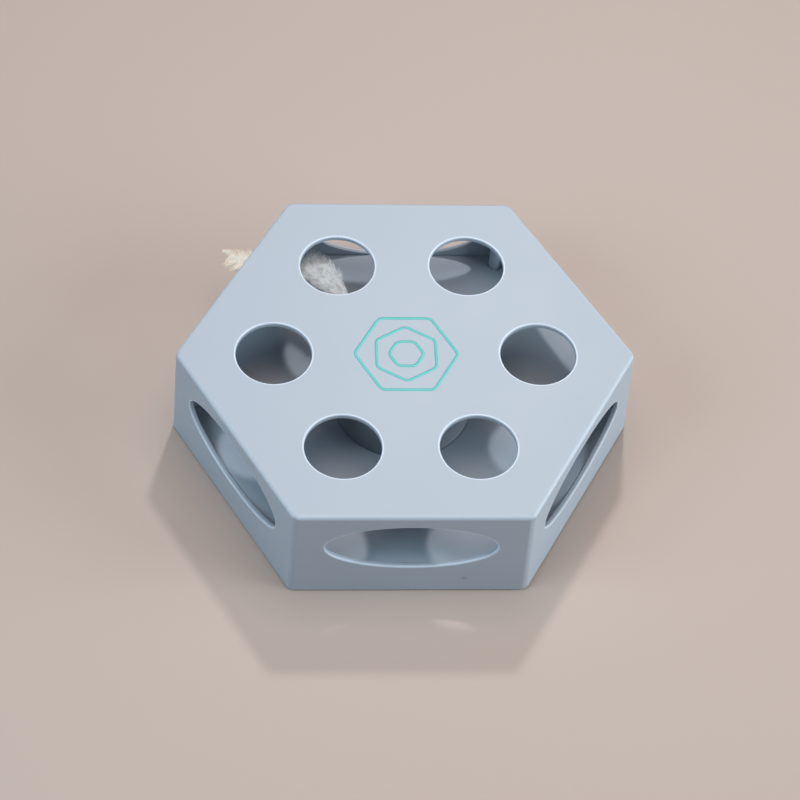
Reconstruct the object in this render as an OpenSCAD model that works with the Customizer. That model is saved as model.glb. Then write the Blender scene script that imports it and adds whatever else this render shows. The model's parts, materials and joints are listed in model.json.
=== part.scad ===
// Feather cat toy: a six-sided box whose motor carries a feather past holes and windows

/* [Cover] */
// Distance across opposite corners of the roof, before they are rounded
cover_d = 230; // [226:1:240]
// How much wider the cover is at the floor than at the roof
cover_draft = 4; // [2:0.5:8]
// Height from the floor to the roof
cover_h = 60; // [60:1:70]
// Thickness of the cover's walls and roof
cover_wall = 2.5; // [2:0.1:3]
// Radius of the upright corners
corner_r = 5; // [4:0.5:8]
// Rounding along the roof's outer edge
edge_r = 2; // [1:0.5:3]
// Diameter of the screw bosses in the cover's corners
boss_d = 7; // [6:0.5:8]
// How far the bosses stand in from the inner corners
boss_inset = 8; // [7:0.5:9]
// Thickness of the web between a boss and its corner
web_t = 2; // [1.5:0.1:2.5]

/* [Holes and windows] */
// Diameter of the holes in the roof
hole_d = 38; // [30:1:42]
// Distance from the roof's corners in to the holes' centres
hole_inset = 49; // [45:1:53]
// Rounding of the holes' upper lips
hole_lip_r = 0.6; // [0.4:0.1:2]
// Length of the oval window in a wall
window_l = 84; // [60:1:90]
// Height of the oval window in a wall
window_h = 32; // [24:1:34]
// Height of the windows' centres above the floor
window_z = 36; // [35:0.5:40]

/* [Base] */
// Height of the tray's underside above the floor
foot_h = 1; // [0.8:0.1:2]
// Diameter of a rubber foot
foot_d = 14; // [10:1:16]
// Distance from the cover's screws in to the feet
foot_inset = 20; // [16:1:26]
// Depth of the recess that holds a foot
foot_seat = 0.8; // [0.5:0.1:1]
// Thickness of the tray's floor
floor_t = 2; // [2:0.1:3]
// Width of the tray's sloping rim at the floor
rim_foot = 6; // [4:0.5:8]
// Width of the tray's rim at its top
rim_t = 2; // [1.5:0.1:3]
// How far the deck's top lies below the windows
deck_drop = 0; // [0:0.1:2]
// Thickness of the deck that lies on the rim
deck_t = 1.5; // [1.3:0.1:2.5]

/* [Battery] */
// Diameter of a cell
cell_d = 10.5; // [10:0.1:10.7]
// Length of a cell with its cap
cell_l = 44.5; // [43:0.1:45]
// Diameter of a cell's raised cap
cell_cap_d = 3.8; // [3:0.1:4.5]
// Height of a cell's raised cap
cell_cap_h = 1; // [0.8:0.1:1.4]
// Number of cells side by side
cell_n = 3; // [2:1:3]
// Play round each cell
cell_gap = 0.4; // [0.2:0.1:0.5]
// Room for a contact at each end of a cell
contact_room = 1.75; // [1.5:0.05:2]
// Thickness of the contacts' metal
contact_t = 0.4; // [0.3:0.05:0.5]
// Width and height of a contact
contact_w = 8; // [6:0.5:9]
// Thickness of the battery bay's walls
bay_wall = 1.5; // [1.2:0.1:1.7]
// Thickness of the battery bay's roof
bay_roof = 1.6; // [1.4:0.1:2.4]
// Thickness of the door's outer plate
door_t = 1.1; // [0.8:0.1:1.2]
// How far the door's plate laps past the bay's inside
door_lap = 2; // [1.6:0.1:2.4]
// Length of the tongues that hook the door
tongue_l = 1.2; // [0.8:0.1:1.3]
// Width of a tongue
tongue_w = 5; // [4:0.5:6]

/* [Tower] */
// Thickness of the tower's wall
tower_wall = 2; // [1.6:0.1:2.5]
// Room between the switch's corners and the tower's wall
tower_room = 0.6; // [0.5:0.1:2]
// Thickness of the tower's cap
cap_t = 2; // [1.8:0.1:3]
// Height of the boss round the bush on the cap
cap_boss_h = 2; // [1.5:0.1:3]
// Diameter of the tower's posts
post_d = 7; // [6:0.5:7.5]
// Height of the ring that centres the tower on the tray
ring_h = 3; // [2:0.5:5]
// Thickness of that ring
ring_t = 1.5; // [1.2:0.1:2.5]
// Width of the shelf round the tower that carries the deck
shelf_w = 1.5; // [1.2:0.1:2.5]
// Thickness of that shelf
shelf_t = 2; // [1.5:0.1:3]
// Thickness of the gear plate
plate_t = 2.6; // [2.4:0.1:3.5]

/* [Gears] */
// Tooth size: pitch diameter over number of teeth
gear_module = 0.5; // [0.45:0.01:0.53]
// Teeth on each pinion
pinion_teeth = 12; // [12:1:14]
// Teeth on each wheel
wheel_teeth = 48; // [44:1:50]
// Pressure angle of the teeth
press_angle = 25; // [24:0.5:26]
// Height of a tooth above its pitch circle, in modules
tooth_add = 0.8; // [0.7:0.05:0.85]
// Depth of a tooth below its pitch circle, in modules
tooth_ded = 1.1; // [1.05:0.05:1.2]
// Play taken off the thickness of each tooth
tooth_play = 0.06; // [0.04:0.01:0.1]
// Width of the gears' teeth
gear_face = 3.4; // [3:0.1:4]
// Gap between the gears and what lies above or below them
gear_gap = 0.6; // [0.5:0.1:1]
// Direction from the rotor's axis to the idler's axis
idler_angle = 60; // [50:1:70]
// Direction from the idler's axis to the motor's axis
motor_angle = 180; // [175:1:190]
// Diameter of the idler's axle
axle_d = 2; // [1.5:0.1:2.2]
// Diameter of the idler's thrust collars
collar_d = 4.4; // [4:0.1:4.6]

/* [Motor] */
// Diameter of the motor
motor_d = 24.4; // [22:0.1:25]
// Length of the motor without its boss
motor_l = 12.3; // [11.5:0.1:13]
// Length of the motor's plastic end cap
endcap_l = 2.2; // [1.8:0.1:3]
// Diameter of the boss round the motor's shaft
motor_boss_d = 6; // [5:0.1:7]
// Height of that boss
motor_boss_h = 1; // [0.8:0.1:1.6]
// Diameter of the motor's shaft
motor_shaft_d = 2; // [1.5:0.1:2.3]
// How deep the shaft reaches into the motor
motor_shaft_in = 8; // [6:0.5:9]
// Distance between the motor's screws
motor_screw_span = 17; // [15:0.5:18]
// Length of a motor terminal
terminal_l = 2; // [1.5:0.1:2.5]
// Distance between the motor's terminals
terminal_span = 8; // [6:0.5:9]
// Gap under the motor
motor_gap = 0.6; // [0.5:0.1:2]

/* [Rotor] */
// Diameter of the rotor's shaft
rotor_shaft_d = 3; // [2.8:0.1:3.4]
// Wall of the bush round the shaft
bush_wall = 1.5; // [1.2:0.1:2]
// Width of the bush's flange
bush_flange = 1.2; // [0.8:0.1:1.5]
// Thickness of the bush's flange
bush_flange_t = 0.6; // [0.5:0.1:1]
// Diameter of the arm's hub
hub_d = 18; // [14:1:22]
// Height of the arm's hub
hub_h = 6; // [5.5:0.5:7]
// Rounding of the hub's upper edge
hub_round = 1.5; // [1:0.25:2]
// Direction that the arm points in at rest
arm_angle = 123; // [115:1:125]
// Radius that the arm's socket reaches
arm_reach = 40; // [38:1:42]
// Length of the arm's socket
socket_l = 12; // [9:1:14]
// Diameter of the arm's socket
socket_d = 6; // [5:0.5:7]
// Height of the arm's bar
arm_h = 4; // [3:0.5:5]
// Diameter of the springy wire
wand_d = 2; // [1.5:0.1:2.2]
// How far the wire reaches past the arm's socket
wand_out = 6; // [5.5:0.5:8]
// Outer diameter of the ferrule
ferrule_d = 5; // [4.6:0.1:6]
// Wall of the ferrule round the quills
ferrule_wall = 0.5; // [0.4:0.1:0.6]
// Length of the ferrule on the wire
ferrule_grip = 4; // [3:0.5:5]
// Length of the ferrule past the wire
ferrule_cup = 5; // [4:0.5:6]

/* [Feathers] */
// How far the long feather's tip reaches past the roof's corners
feather_out = 12; // [1:0.5:13]
// How far the long feather sweeps round from the arm, in degrees
feather_sweep = 14.5; // [14:0.5:17]
// How far the long feather droops from root to tip
feather_droop = 14; // [10:0.5:16]
// Width of the long feather
feather_w = 13.5; // [9:0.5:14]
// Thickness of the long feather
feather_t = 1.2; // [0.8:0.1:1.6]
// Room between the fluffy feathers' tips and the cover's bosses
fluff_room = 3.6; // [2.6:0.1:12]
// Width of the fluffy bunch
fluff_w = 30; // [20:1:32]
// Thickness of the fluffy bunch
fluff_t = 14; // [8:0.5:14]
// How far the fluffy bunch hangs below the ferrule
fluff_droop = 16; // [14:0.5:18]

/* [Electronics] */
// Width of the control board
board_w = 28; // [24:1:30]
// Depth of the control board
board_l = 18; // [16:1:20]
// Thickness of the control board
board_t = 1.2; // [0.8:0.1:1.6]
// Height of the board's standoffs
standoff_h = 1.2; // [1:0.1:2]
// Distance between the board's screws
board_screw_span = 22; // [20:0.5:22]
// Side of the timer chip
chip_w = 5; // [4:0.5:6]
// Height of the timer chip
chip_h = 1.6; // [1.2:0.1:2]
// Diameter of the capacitor
capacitor_d = 5; // [4:0.5:6]
// Height of the capacitor
capacitor_h = 7; // [5:0.5:8]
// Diameter of a motor lead
lead_d = 1; // [0.8:0.1:1.2]
// Length of the switch's body
switch_l = 11; // [10:0.5:12]
// Width of the switch's body
switch_w = 5; // [4.8:0.1:5.4]
// Height of the switch's body
switch_h = 5.4; // [4.8:0.1:6]
// Travel of the switch's slider
switch_travel = 3; // [2:0.25:3]
// Length of the slider's knob
knob_l = 3.6; // [3:0.1:4]
// Width of the slider's knob
knob_w = 2.4; // [2:0.1:2.6]

/* [Screws] */
// Diameter of the screws that hold the cover and the tower to the tray
screw_d = 2.6; // [2.4:0.1:2.8]
// How deep those screws reach into their bosses
screw_grip = 8; // [6:0.5:10]
// Diameter of the screws in the cap, the motor, the door and the rotor
small_screw_d = 2; // [1.8:0.1:2.2]
// How deep those screws reach
small_screw_grip = 6; // [4:0.5:7]
// Diameter of the board's screws
board_screw_d = 1.6; // [1.4:0.1:1.8]
// A screw head's diameter over the screw's
head_ratio = 1.9; // [1.7:0.05:2]
// A screw head's height over the screw's diameter
head_h_ratio = 0.4; // [0.3:0.05:0.45]

/* [Fits] */
// Gap round pieces that drop into each other
fit_gap = 0.3; // [0.2:0.05:0.4]
// Gap round pins and screws that sit tight
seat_gap = 0.02; // [0.01:0.01:0.04]
// Gap round shafts that turn
run_gap = 0.05; // [0.03:0.01:0.08]

/* [Hidden] */
$fn = 64;
hull_fn = 36;
edge_fn = 16;
eps = 0.01;
past = 1;

cover_colour = [0.72, 0.78, 0.83];
tray_colour = [0.64, 0.70, 0.75];
rubber_colour = [0.16, 0.17, 0.18];
steel_colour = [0.72, 0.73, 0.75];
brass_colour = [0.78, 0.62, 0.30];
gear_colour = [0.93, 0.92, 0.87];
arm_colour = [0.86, 0.88, 0.90];
dark_colour = [0.13, 0.13, 0.14];
cell_colour = [0.25, 0.27, 0.30];
board_colour = [0.12, 0.36, 0.22];
lead_colour = [0.70, 0.12, 0.10];
fluff_colour = [0.95, 0.95, 0.93];
feather_colour = [0.90, 0.84, 0.72];

// Levels, from the floor up
floor_z = foot_h + floor_t;
deck_top = window_z - window_h / 2 - deck_drop;
rim_z = deck_top - deck_t;
roof_z = cover_h - cover_wall;
bay_top = floor_z + cell_d + 2 * cell_gap + bay_roof;
board_z = bay_top + standoff_h;
motor_z = bay_top + motor_gap;
plate_z = motor_z + motor_l;
plate_top = plate_z + plate_t;
level_1 = plate_top + gear_gap;
level_2 = level_1 + gear_face + gear_gap;
cap_z = level_2 + gear_face + gear_gap;
cap_top = cap_z + cap_t;
bush_top = cap_top + cap_boss_h;
hub_z = bush_top + bush_flange_t + fit_gap;
hub_top = hub_z + hub_h;
wand_z = hub_z + socket_d / 2;

// Six-sided outline
sides = 6;
side_turn = 360 / sides;
half_turn = side_turn / 2;
band = 0.6;
oval_steps = 72;
function cover_ap(z) = (cover_d + cover_draft * (cover_h - z) / cover_h) / 2 * cos(half_turn);
function inner_ap(z) = cover_ap(z) - cover_wall;
function tray_ap(z) = inner_ap(z) - fit_gap;
inner_corner_r = corner_r - cover_wall;
lip_r = min(hole_lip_r, cover_wall - fit_gap);
lip_rise = lip_r / 20;
boss_ring_r = inner_ap(foot_h) / cos(half_turn) - boss_inset;
boss_seat = 0.25;
boss_z = floor_z - boss_seat;
hole_ring_r = cover_d / 2 - hole_inset;
foot_ring_r = boss_ring_r - foot_inset;

// Battery bay and what stands beside it
cell_pitch = cell_d + cell_gap;
cell_z = floor_z + cell_gap / 2 + cell_d / 2;
bay_x = cell_n * cell_pitch + cell_gap;
bay_y = cell_l + 2 * contact_room;
bay_end = bay_y / 2 + bay_wall;
door_boss_d = 3 * small_screw_d;
door_screw_y = -bay_end - fit_gap - door_boss_d / 2;
door_end = door_screw_y - door_boss_d / 2;
switch_y = bay_end + 2 * tongue_l + switch_w / 2 - door_lap / 2;
slot_l = knob_l + switch_travel + 2 * fit_gap;
flange_lap = 0.5;
flange_l = knob_l + 2 * flange_lap;
flange_w = knob_w + 2 * flange_lap;
flange_t = 0.8;
stem_h = 1.4;

// Door, board and screw seats
tongue_t = 0.6;
tongue_x = bay_x / 2 - tongue_w;
door_head_seat = door_t / 2;
head_seat = head_h(screw_d) + fit_gap / 3;
board_y = -bay_y / 2 + board_l / 2 + past;
board_top = board_z + board_t;
board_grip = standoff_h + bay_roof / 2;

// Tower
tower_r = norm([switch_l / 2, switch_y + switch_w / 2]) + tower_room;
tower_out_r = tower_r + tower_wall;
post_ring_r = tower_r - post_d / 2 + fit_gap;
post_angles = [30, 150, 210, 330];

// Gear train
axis_gap = gear_module * (pinion_teeth + wheel_teeth) / 2;
idler_at = axis_gap * [cos(idler_angle), sin(idler_angle)];
motor_at = idler_at + axis_gap * [cos(motor_angle), sin(motor_angle)];
flank_steps = 3;
blind = 0.4;
bore_z = plate_z + blind;

// Motor leads
lead_sides = 8;
lead_steps = 12;
terminal_top = motor_z + endcap_l / 2 + contact_t;
lead_start = motor_at[1] - motor_d / 2 - terminal_l + lead_d / 2;
lead_end = board_y + board_l / 2 - 2 * lead_d;
lead_bend = (lead_start - lead_end) / 2;
lead_base = max(terminal_top, board_top) + lead_d;

// Rotor and feathers
bush_d = rotor_shaft_d + 2 * run_gap + 2 * bush_wall;
shaft_top = hub_top - hub_round;
rotor_screw_d = rotor_shaft_d / 2;
wand_reach = arm_reach + wand_out;
ferrule_end = wand_reach + ferrule_cup;
quill_r = 0.6;
quill_lift = 0.8;
feather_steps = 18;
fluff_steps = 12;
fluff_sides = 12;
fluff_root_t = 1.2;
feather_reach = cover_d / 2 + feather_out;
fluff_reach = boss_ring_r - boss_d / 2 - fluff_room;
arm_root_w = hub_d * 2 / 3;
arm_tip_w = socket_d - past;
feather_root = wand_reach + fit_gap;
vane_start = (ferrule_end + past - feather_root) / (feather_reach - feather_root);
vane_fullness = 2.2;
vane_sides = 6;
fluff_start = ferrule_end + fit_gap;
fluff_turn = 3;

function polar(r, a) = [r * cos(a), r * sin(a)];
function at(r, a, z) = [r * cos(a), r * sin(a), z];
function across(a) = [-sin(a), cos(a), 0];
function head_d(d) = d * head_ratio;
function head_h(d) = d * head_h_ratio;

// Points of an ellipse in the plane of two directions
function ring(centre, u, v, n) = [for (i = [0:n - 1]) centre + u * cos(360 * i / n) + v * sin(360 * i / n)];

// Closed skin through a row of rings
module loft(rings) {
  n = len(rings[0]);
  m = len(rings);
  sides_of = [
    for (j = [0:m - 2], i = [0:n - 1])
      let (k = (i + 1) % n)
      each [[j * n + i, (j + 1) * n + k, j * n + k], [j * n + i, (j + 1) * n + i, (j + 1) * n + k]]
  ];
  first_cap = [for (i = [1:n - 2]) [0, i, i + 1]];
  top = (m - 1) * n;
  last_cap = [for (i = [1:n - 2]) [top, top + i + 1, top + i]];
  polyhedron([for (r = rings) each r], concat(sides_of, first_cap, last_cap));
}

// One disc of a block's rounded corner
module corner_disc(ap, z, r) {
  translate([(ap - r) / cos(half_turn), 0, z])
    rotate(180 / hull_fn)
      cylinder(r = r, h = band, $fn = hull_fn);
}

// Six-sided block with rounded upright corners, drafted between upright bands at its foot and its top
module hex_block(ap_0, z_0, ap_1, z_1, r) {
  hull()
    for (i = [0:sides - 1])
      rotate(i * side_turn) {
        corner_disc(ap_0, z_0, r);
        corner_disc(ap_1, z_1 - band, r);
      }
}

// The cover's outside, with a rounded edge round the roof
module cover_block() {
  hull()
    for (i = [0:sides - 1])
      rotate(i * side_turn) {
        corner_disc(cover_ap(foot_h), foot_h, corner_r);
        translate([(cover_ap(cover_h) - corner_r) / cos(half_turn), 0, cover_h - edge_r])
          rotate(180 / hull_fn)
            rotate_extrude($fn = hull_fn)
              translate([corner_r - edge_r, 0])
                circle(r = edge_r, $fn = edge_fn);
      }
}

module oval(l, h) {
  polygon([
    for (i = [0:oval_steps - 1])
      let (turn = 360 * i / oval_steps)
      [l / 2 * cos(turn), h / 2 * sin(turn)]
  ]);
}

// Cutter for one roof hole, with a rounded upper lip
module hole_cutter() {
  translate([0, 0, roof_z - past])
    cylinder(d = hole_d, h = cover_wall + 2 * past);
  difference() {
    translate([0, 0, cover_h - lip_r])
      cylinder(r = hole_d / 2 + lip_r, h = lip_r + past);
    translate([0, 0, cover_h - lip_r + lip_rise])
      rotate_extrude()
        translate([hole_d / 2 + lip_r, 0])
          circle(r = lip_r);
  }
}

// Screw standing on its head's seat, head up, with a cross recess
module screw(d, l) {
  slot_w = d * 0.22;
  slot_len = head_d(d) * 0.62;
  slot_h = head_h(d) * 0.6;
  translate([0, 0, -l])
    cylinder(d = d, h = l + eps);
  difference() {
    cylinder(d = head_d(d), h = head_h(d));
    for (a = [0, 90])
      rotate(a)
        translate([-slot_len / 2, -slot_w / 2, head_h(d) - slot_h])
          cube([slot_len, slot_w, slot_h + past]);
  }
}

// Copies at the cover's corners
module at_corners(r) {
  for (i = [0:sides - 1])
    rotate(i * side_turn)
      translate([r, 0, 0])
        children();
}

// Copies at the tower's posts
module at_posts() {
  for (a = post_angles)
    translate(polar(post_ring_r, a))
      children();
}

// Copies along the row of cells, each turned end for end from the last
module at_cells() {
  for (i = [0:cell_n - 1])
    translate([(i - (cell_n - 1) / 2) * cell_pitch, 0, cell_z])
      rotate(180 * (i % 2))
        children();
}

// Copies at the motor's screws
module at_motor_screws() {
  for (s = [-1, 1])
    translate(motor_at + [0, s * motor_screw_span / 2])
      children();
}

// Copies at the board's screws
module at_board_screws() {
  for (s = [-1, 1])
    translate([s * board_screw_span / 2, board_y])
      children();
}

// Involute gear teeth
function involute(a) = tan(a) * 180 / PI - a;
function pitch_r(n) = gear_module * n / 2;
function base_r(n) = pitch_r(n) * cos(press_angle);
function root_r(n) = pitch_r(n) - tooth_ded * gear_module;
function tip_r(n) = pitch_r(n) + tooth_add * gear_module;
function half_tooth(n, r) =
  90 / n - tooth_play / (2 * pitch_r(n)) * 180 / PI + involute(press_angle) - involute(acos(base_r(n) / r));

module gear_outline(n) {
  start_r = max(base_r(n), root_r(n));
  flank = [for (s = [0:flank_steps]) start_r + (tip_r(n) - start_r) * s / flank_steps];
  root = base_r(n) > root_r(n) ? [[root_r(n), half_tooth(n, start_r)]] : [];
  rise = concat(root, [for (r = flank) [r, half_tooth(n, r)]]);
  polygon([
    for (k = [0:n - 1])
      each concat(
        [for (p = rise) polar(p[0], 360 * k / n - p[1])],
        [for (i = [len(rise) - 1:-1:0]) polar(rise[i][0], 360 * k / n + rise[i][1])]
      )
  ]);
}

// Cover: a drafted shell with round holes in its roof and an oval window in each wall
module top_cover() {
  color(cover_colour)
    difference() {
      union() {
        difference() {
          cover_block();
          hex_block(inner_ap(-roof_z), -roof_z, inner_ap(roof_z), roof_z, inner_corner_r);
        }
        intersection() {
          at_corners(boss_ring_r) {
            translate([0, 0, boss_z])
              cylinder(d = boss_d, h = roof_z + eps - boss_z);
            translate([0, -web_t / 2, deck_top])
              cube([boss_inset + cover_wall, web_t, roof_z + eps - deck_top]);
          }
          cover_block();
        }
      }
      at_corners(boss_ring_r)
        translate([0, 0, boss_z - past])
          cylinder(d = screw_d + 2 * seat_gap, h = screw_grip + 2 * past);
      at_corners(hole_ring_r)
        hole_cutter();
      for (i = [0:sides / 2 - 1])
        rotate(half_turn + i * side_turn)
          translate([-cover_d, 0, window_z])
            rotate([90, 0, 90])
              linear_extrude(2 * cover_d)
                oval(window_l, window_h);
    }
}

// Tray: floor, sloping rim, battery bay and the seats of what stands on it
module base_tray() {
  color(tray_colour)
    difference() {
      union() {
        difference() {
          hex_block(tray_ap(foot_h), foot_h, tray_ap(rim_z), rim_z, inner_corner_r);
          hex_block(
            tray_ap(floor_z) - rim_foot, floor_z, tray_ap(rim_z) - rim_t, rim_z + band / 2, inner_corner_r
          );
        }
        translate([-bay_x / 2 - bay_wall, -bay_end, floor_z - eps])
          cube([bay_x + 2 * bay_wall, 2 * bay_end, bay_top - floor_z + eps]);
        translate([0, 0, floor_z - eps])
          difference() {
            cylinder(r = tower_out_r + fit_gap + ring_t, h = ring_h + eps);
            translate([0, 0, -past])
              cylinder(r = tower_out_r + fit_gap, h = ring_h + 2 * past);
          }
        translate([0, door_screw_y, floor_z - eps])
          cylinder(d = door_boss_d, h = small_screw_grip + eps);
        at_board_screws()
          translate([0, 0, bay_top - eps])
            cylinder(d = head_d(board_screw_d), h = standoff_h + eps);
      }
      // room for the cells, open below
      translate([-bay_x / 2, -bay_y / 2, foot_h - past])
        cube([bay_x, bay_y, bay_top - bay_roof - foot_h + past]);
      // recess, tongue slots and screw hole of the door
      translate([-bay_x / 2 - door_lap, door_end, foot_h - past])
        cube([bay_x + 2 * door_lap, bay_y / 2 + door_lap - door_end, door_t + fit_gap / 2 + past]);
      at_tongues()
        translate([-tongue_w / 2 - fit_gap / 2, -past, -fit_gap / 2])
          cube([tongue_w + fit_gap, tongue_l + fit_gap / 2 + past, tongue_t + fit_gap]);
      translate([0, door_screw_y, foot_h])
        cylinder(d = small_screw_d + 2 * seat_gap, h = floor_t + small_screw_grip - past);
      at_board_screws()
        translate([0, 0, board_z - board_grip])
          cylinder(d = board_screw_d + 2 * seat_gap, h = board_grip + past);
      // slot for the switch's knob
      translate([0, switch_y, foot_h + floor_t / 2])
        cube([slot_l, knob_w + 2 * fit_gap, floor_t + 2 * past], center = true);
      // screw holes under the posts and the cover's bosses, and room for those bosses in the rim
      at_posts()
        screw_seat();
      at_corners(boss_ring_r) {
        screw_seat();
        translate([0, 0, boss_z])
          cylinder(d = boss_d + 2 * fit_gap, h = rim_z);
      }
      at_corners(foot_ring_r)
        translate([0, 0, foot_h - past])
          cylinder(d = foot_d + 2 * seat_gap, h = foot_seat + past);
    }
}

// Deck: the flat floor under the feathers, on the tray's rim and the tower's shelf, under the cover's webs
module deck() {
  color(tray_colour)
    difference() {
      hex_block(tray_ap(rim_z), rim_z, tray_ap(deck_top), deck_top, inner_corner_r);
      translate([0, 0, rim_z - past])
        cylinder(r = tower_out_r + fit_gap, h = deck_t + 2 * past);
      at_corners(boss_ring_r)
        translate([0, 0, rim_z - past])
          cylinder(d = boss_d + 2 * fit_gap, h = deck_t + 2 * past);
    }
}

// Hole through the floor with a recess below for a screw's head
module screw_seat() {
  translate([0, 0, foot_h - past])
    cylinder(d = screw_d + fit_gap, h = floor_t + 2 * past);
  translate([0, 0, foot_h - past])
    cylinder(d = head_d(screw_d) + fit_gap, h = head_seat + past);
}

// Copies at the door's tongues
module at_tongues() {
  for (s = [-1, 1])
    translate([s * tongue_x, bay_y / 2 + door_lap, foot_h + fit_gap])
      children();
}

// Rubber feet, let into the tray
module rubber_feet() {
  color(rubber_colour)
    at_corners(foot_ring_r)
      rotate_extrude()
        polygon([
          [0, 0], [foot_d / 2 - foot_h / 2, 0], [foot_d / 2, foot_h / 2], [foot_d / 2, foot_h + foot_seat],
          [0, foot_h + foot_seat]
        ]);
}

// Screws that hold the cover to the tray
module cover_screws() {
  color(steel_colour)
    at_corners(boss_ring_r)
      translate([0, 0, foot_h + head_seat])
        mirror([0, 0, 1])
          screw(screw_d, floor_z - foot_h - head_seat + screw_grip);
}

// Tower: a round housing with four posts for the gear plate and a shelf for the deck
module motor_tower() {
  color(tray_colour)
    difference() {
      union() {
        difference() {
          union() {
            translate([0, 0, floor_z])
              cylinder(r = tower_out_r, h = cap_z - floor_z);
            translate([0, 0, rim_z - shelf_t])
              cylinder(r = tower_out_r + shelf_w, h = shelf_t);
          }
          translate([0, 0, floor_z - past])
            cylinder(r = tower_r, h = cap_z - floor_z + 2 * past);
        }
        intersection() {
          at_posts()
            translate([0, 0, floor_z])
              cylinder(d = post_d, h = plate_z - floor_z);
          cylinder(r = tower_r + eps, h = cap_z);
        }
      }
      at_posts() {
        translate([0, 0, floor_z - past])
          cylinder(d = screw_d + 2 * seat_gap, h = screw_grip + 2 * past);
        translate([0, 0, plate_z - small_screw_grip - past])
          cylinder(d = small_screw_d + 2 * seat_gap, h = small_screw_grip + 2 * past);
      }
    }
}

// Screws that hold the tower to the tray
module tower_base_screws() {
  color(steel_colour)
    at_posts()
      translate([0, 0, foot_h + head_seat])
        mirror([0, 0, 1])
          screw(screw_d, floor_z - foot_h - head_seat + screw_grip);
}

// Plate that carries the motor and the gears' lower ends
module gear_plate() {
  color(dark_colour)
    difference() {
      translate([0, 0, plate_z])
        cylinder(r = tower_r - fit_gap, h = plate_t);
      translate([0, 0, bore_z])
        cylinder(d = rotor_shaft_d + 2 * run_gap, h = plate_t);
      translate(concat(idler_at, bore_z))
        cylinder(d = axle_d + 2 * seat_gap, h = plate_t);
      translate(concat(motor_at, plate_z - past))
        cylinder(d = motor_boss_d + fit_gap, h = plate_t + 2 * past);
      at_motor_screws()
        translate([0, 0, plate_z - past])
          cylinder(d = small_screw_d + fit_gap, h = plate_t + 2 * past);
      at_posts()
        translate([0, 0, plate_z - past])
          cylinder(d = small_screw_d + fit_gap, h = plate_t + 2 * past);
    }
}

// Cap: closes the tower, holds the bush and presses the gear plate on its posts
module tower_cap() {
  color(tray_colour)
    difference() {
      union() {
        translate([0, 0, cap_z])
          cylinder(r = tower_out_r, h = cap_t);
        translate([0, 0, cap_top - eps])
          cylinder(d = rotor_shaft_d + 4 * bush_wall + 2 * bush_flange, h = cap_boss_h + eps);
        intersection() {
          at_posts()
            translate([0, 0, plate_top])
              cylinder(d = post_d, h = cap_z - plate_top + eps);
          cylinder(r = tower_r - fit_gap, h = cap_top);
        }
      }
      translate([0, 0, cap_z - past])
        cylinder(d = bush_d + 2 * seat_gap, h = cap_t + cap_boss_h + 2 * past);
      translate(concat(idler_at, cap_z - past))
        cylinder(d = axle_d + 2 * seat_gap, h = cap_t - blind + past);
      at_posts()
        translate([0, 0, plate_top - past])
          cylinder(d = small_screw_d + fit_gap, h = cap_top - plate_top + 2 * past);
    }
}

// Long screws through cap and plate into the posts
module tower_screws() {
  color(steel_colour)
    at_posts()
      translate([0, 0, cap_top])
        screw(small_screw_d, cap_top - plate_z + small_screw_grip);
}

// Motor can with its boss, hung under the gear plate
module motor_can() {
  color(steel_colour)
    translate(motor_at)
      difference() {
        union() {
          translate([0, 0, motor_z + endcap_l])
            cylinder(d = motor_d, h = motor_l - endcap_l);
          translate([0, 0, plate_z - eps])
            cylinder(d = motor_boss_d, h = motor_boss_h + eps);
        }
        translate([0, 0, plate_z - motor_shaft_in - blind])
          cylinder(d = motor_shaft_d + 2 * run_gap, h = motor_shaft_in + blind + motor_boss_h + past);
        for (s = [-1, 1])
          translate([0, s * motor_screw_span / 2, plate_z - small_screw_grip / 2 - blind])
            cylinder(d = small_screw_d + 2 * seat_gap, h = small_screw_grip);
      }
}

// Plastic end of the motor with its terminals
module motor_endcap() {
  color(dark_colour)
    translate(concat(motor_at, motor_z)) {
      cylinder(d = motor_d, h = endcap_l);
      for (s = [-1, 1])
        translate([s * terminal_span / 2 - lead_d / 2, -motor_d / 2 - terminal_l, endcap_l / 2])
          cube([lead_d, motor_d / 2, contact_t]);
    }
}

// Screws that hold the motor to the gear plate
module motor_screws() {
  color(steel_colour)
    at_motor_screws()
      translate([0, 0, plate_top])
        screw(small_screw_d, plate_t + small_screw_grip / 2);
}

// Leads that arch from the motor's terminals to the board
module motor_leads() {
  color(lead_colour)
    for (side = [-1, 1])
      let (x = motor_at[0] + side * terminal_span / 2)
      loft(concat(
        [lead_ring([x, lead_start, terminal_top], 0)],
        [
          for (k = [0:lead_steps])
            let (turn = 180 * k / lead_steps)
            lead_ring([x, lead_end + lead_bend * (1 + cos(turn)), lead_base + lead_bend * sin(turn)], turn)
        ],
        [lead_ring([x, lead_end, board_top], 180)]
      ));
}
function lead_ring(centre, turn) =
  ring(centre, [lead_d / 2, 0, 0], lead_d / 2 * [0, cos(turn), sin(turn)], lead_sides);

// Flanged bush in the cap
module rotor_bush() {
  color(brass_colour)
    difference() {
      union() {
        translate([0, 0, cap_z])
          cylinder(d = bush_d, h = bush_top - cap_z + eps);
        translate([0, 0, bush_top])
          cylinder(d = bush_d + 2 * bush_flange, h = bush_flange_t);
      }
      translate([0, 0, cap_z - past])
        cylinder(d = rotor_shaft_d + 2 * run_gap, h = bush_top - cap_z + bush_flange_t + 2 * past);
    }
}

// Fixed pin that the idler turns on
module idler_axle() {
  color(steel_colour)
    translate(concat(idler_at, bore_z + seat_gap))
      cylinder(d = axle_d, h = cap_top - blind - bore_z - 2 * seat_gap);
}

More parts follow.
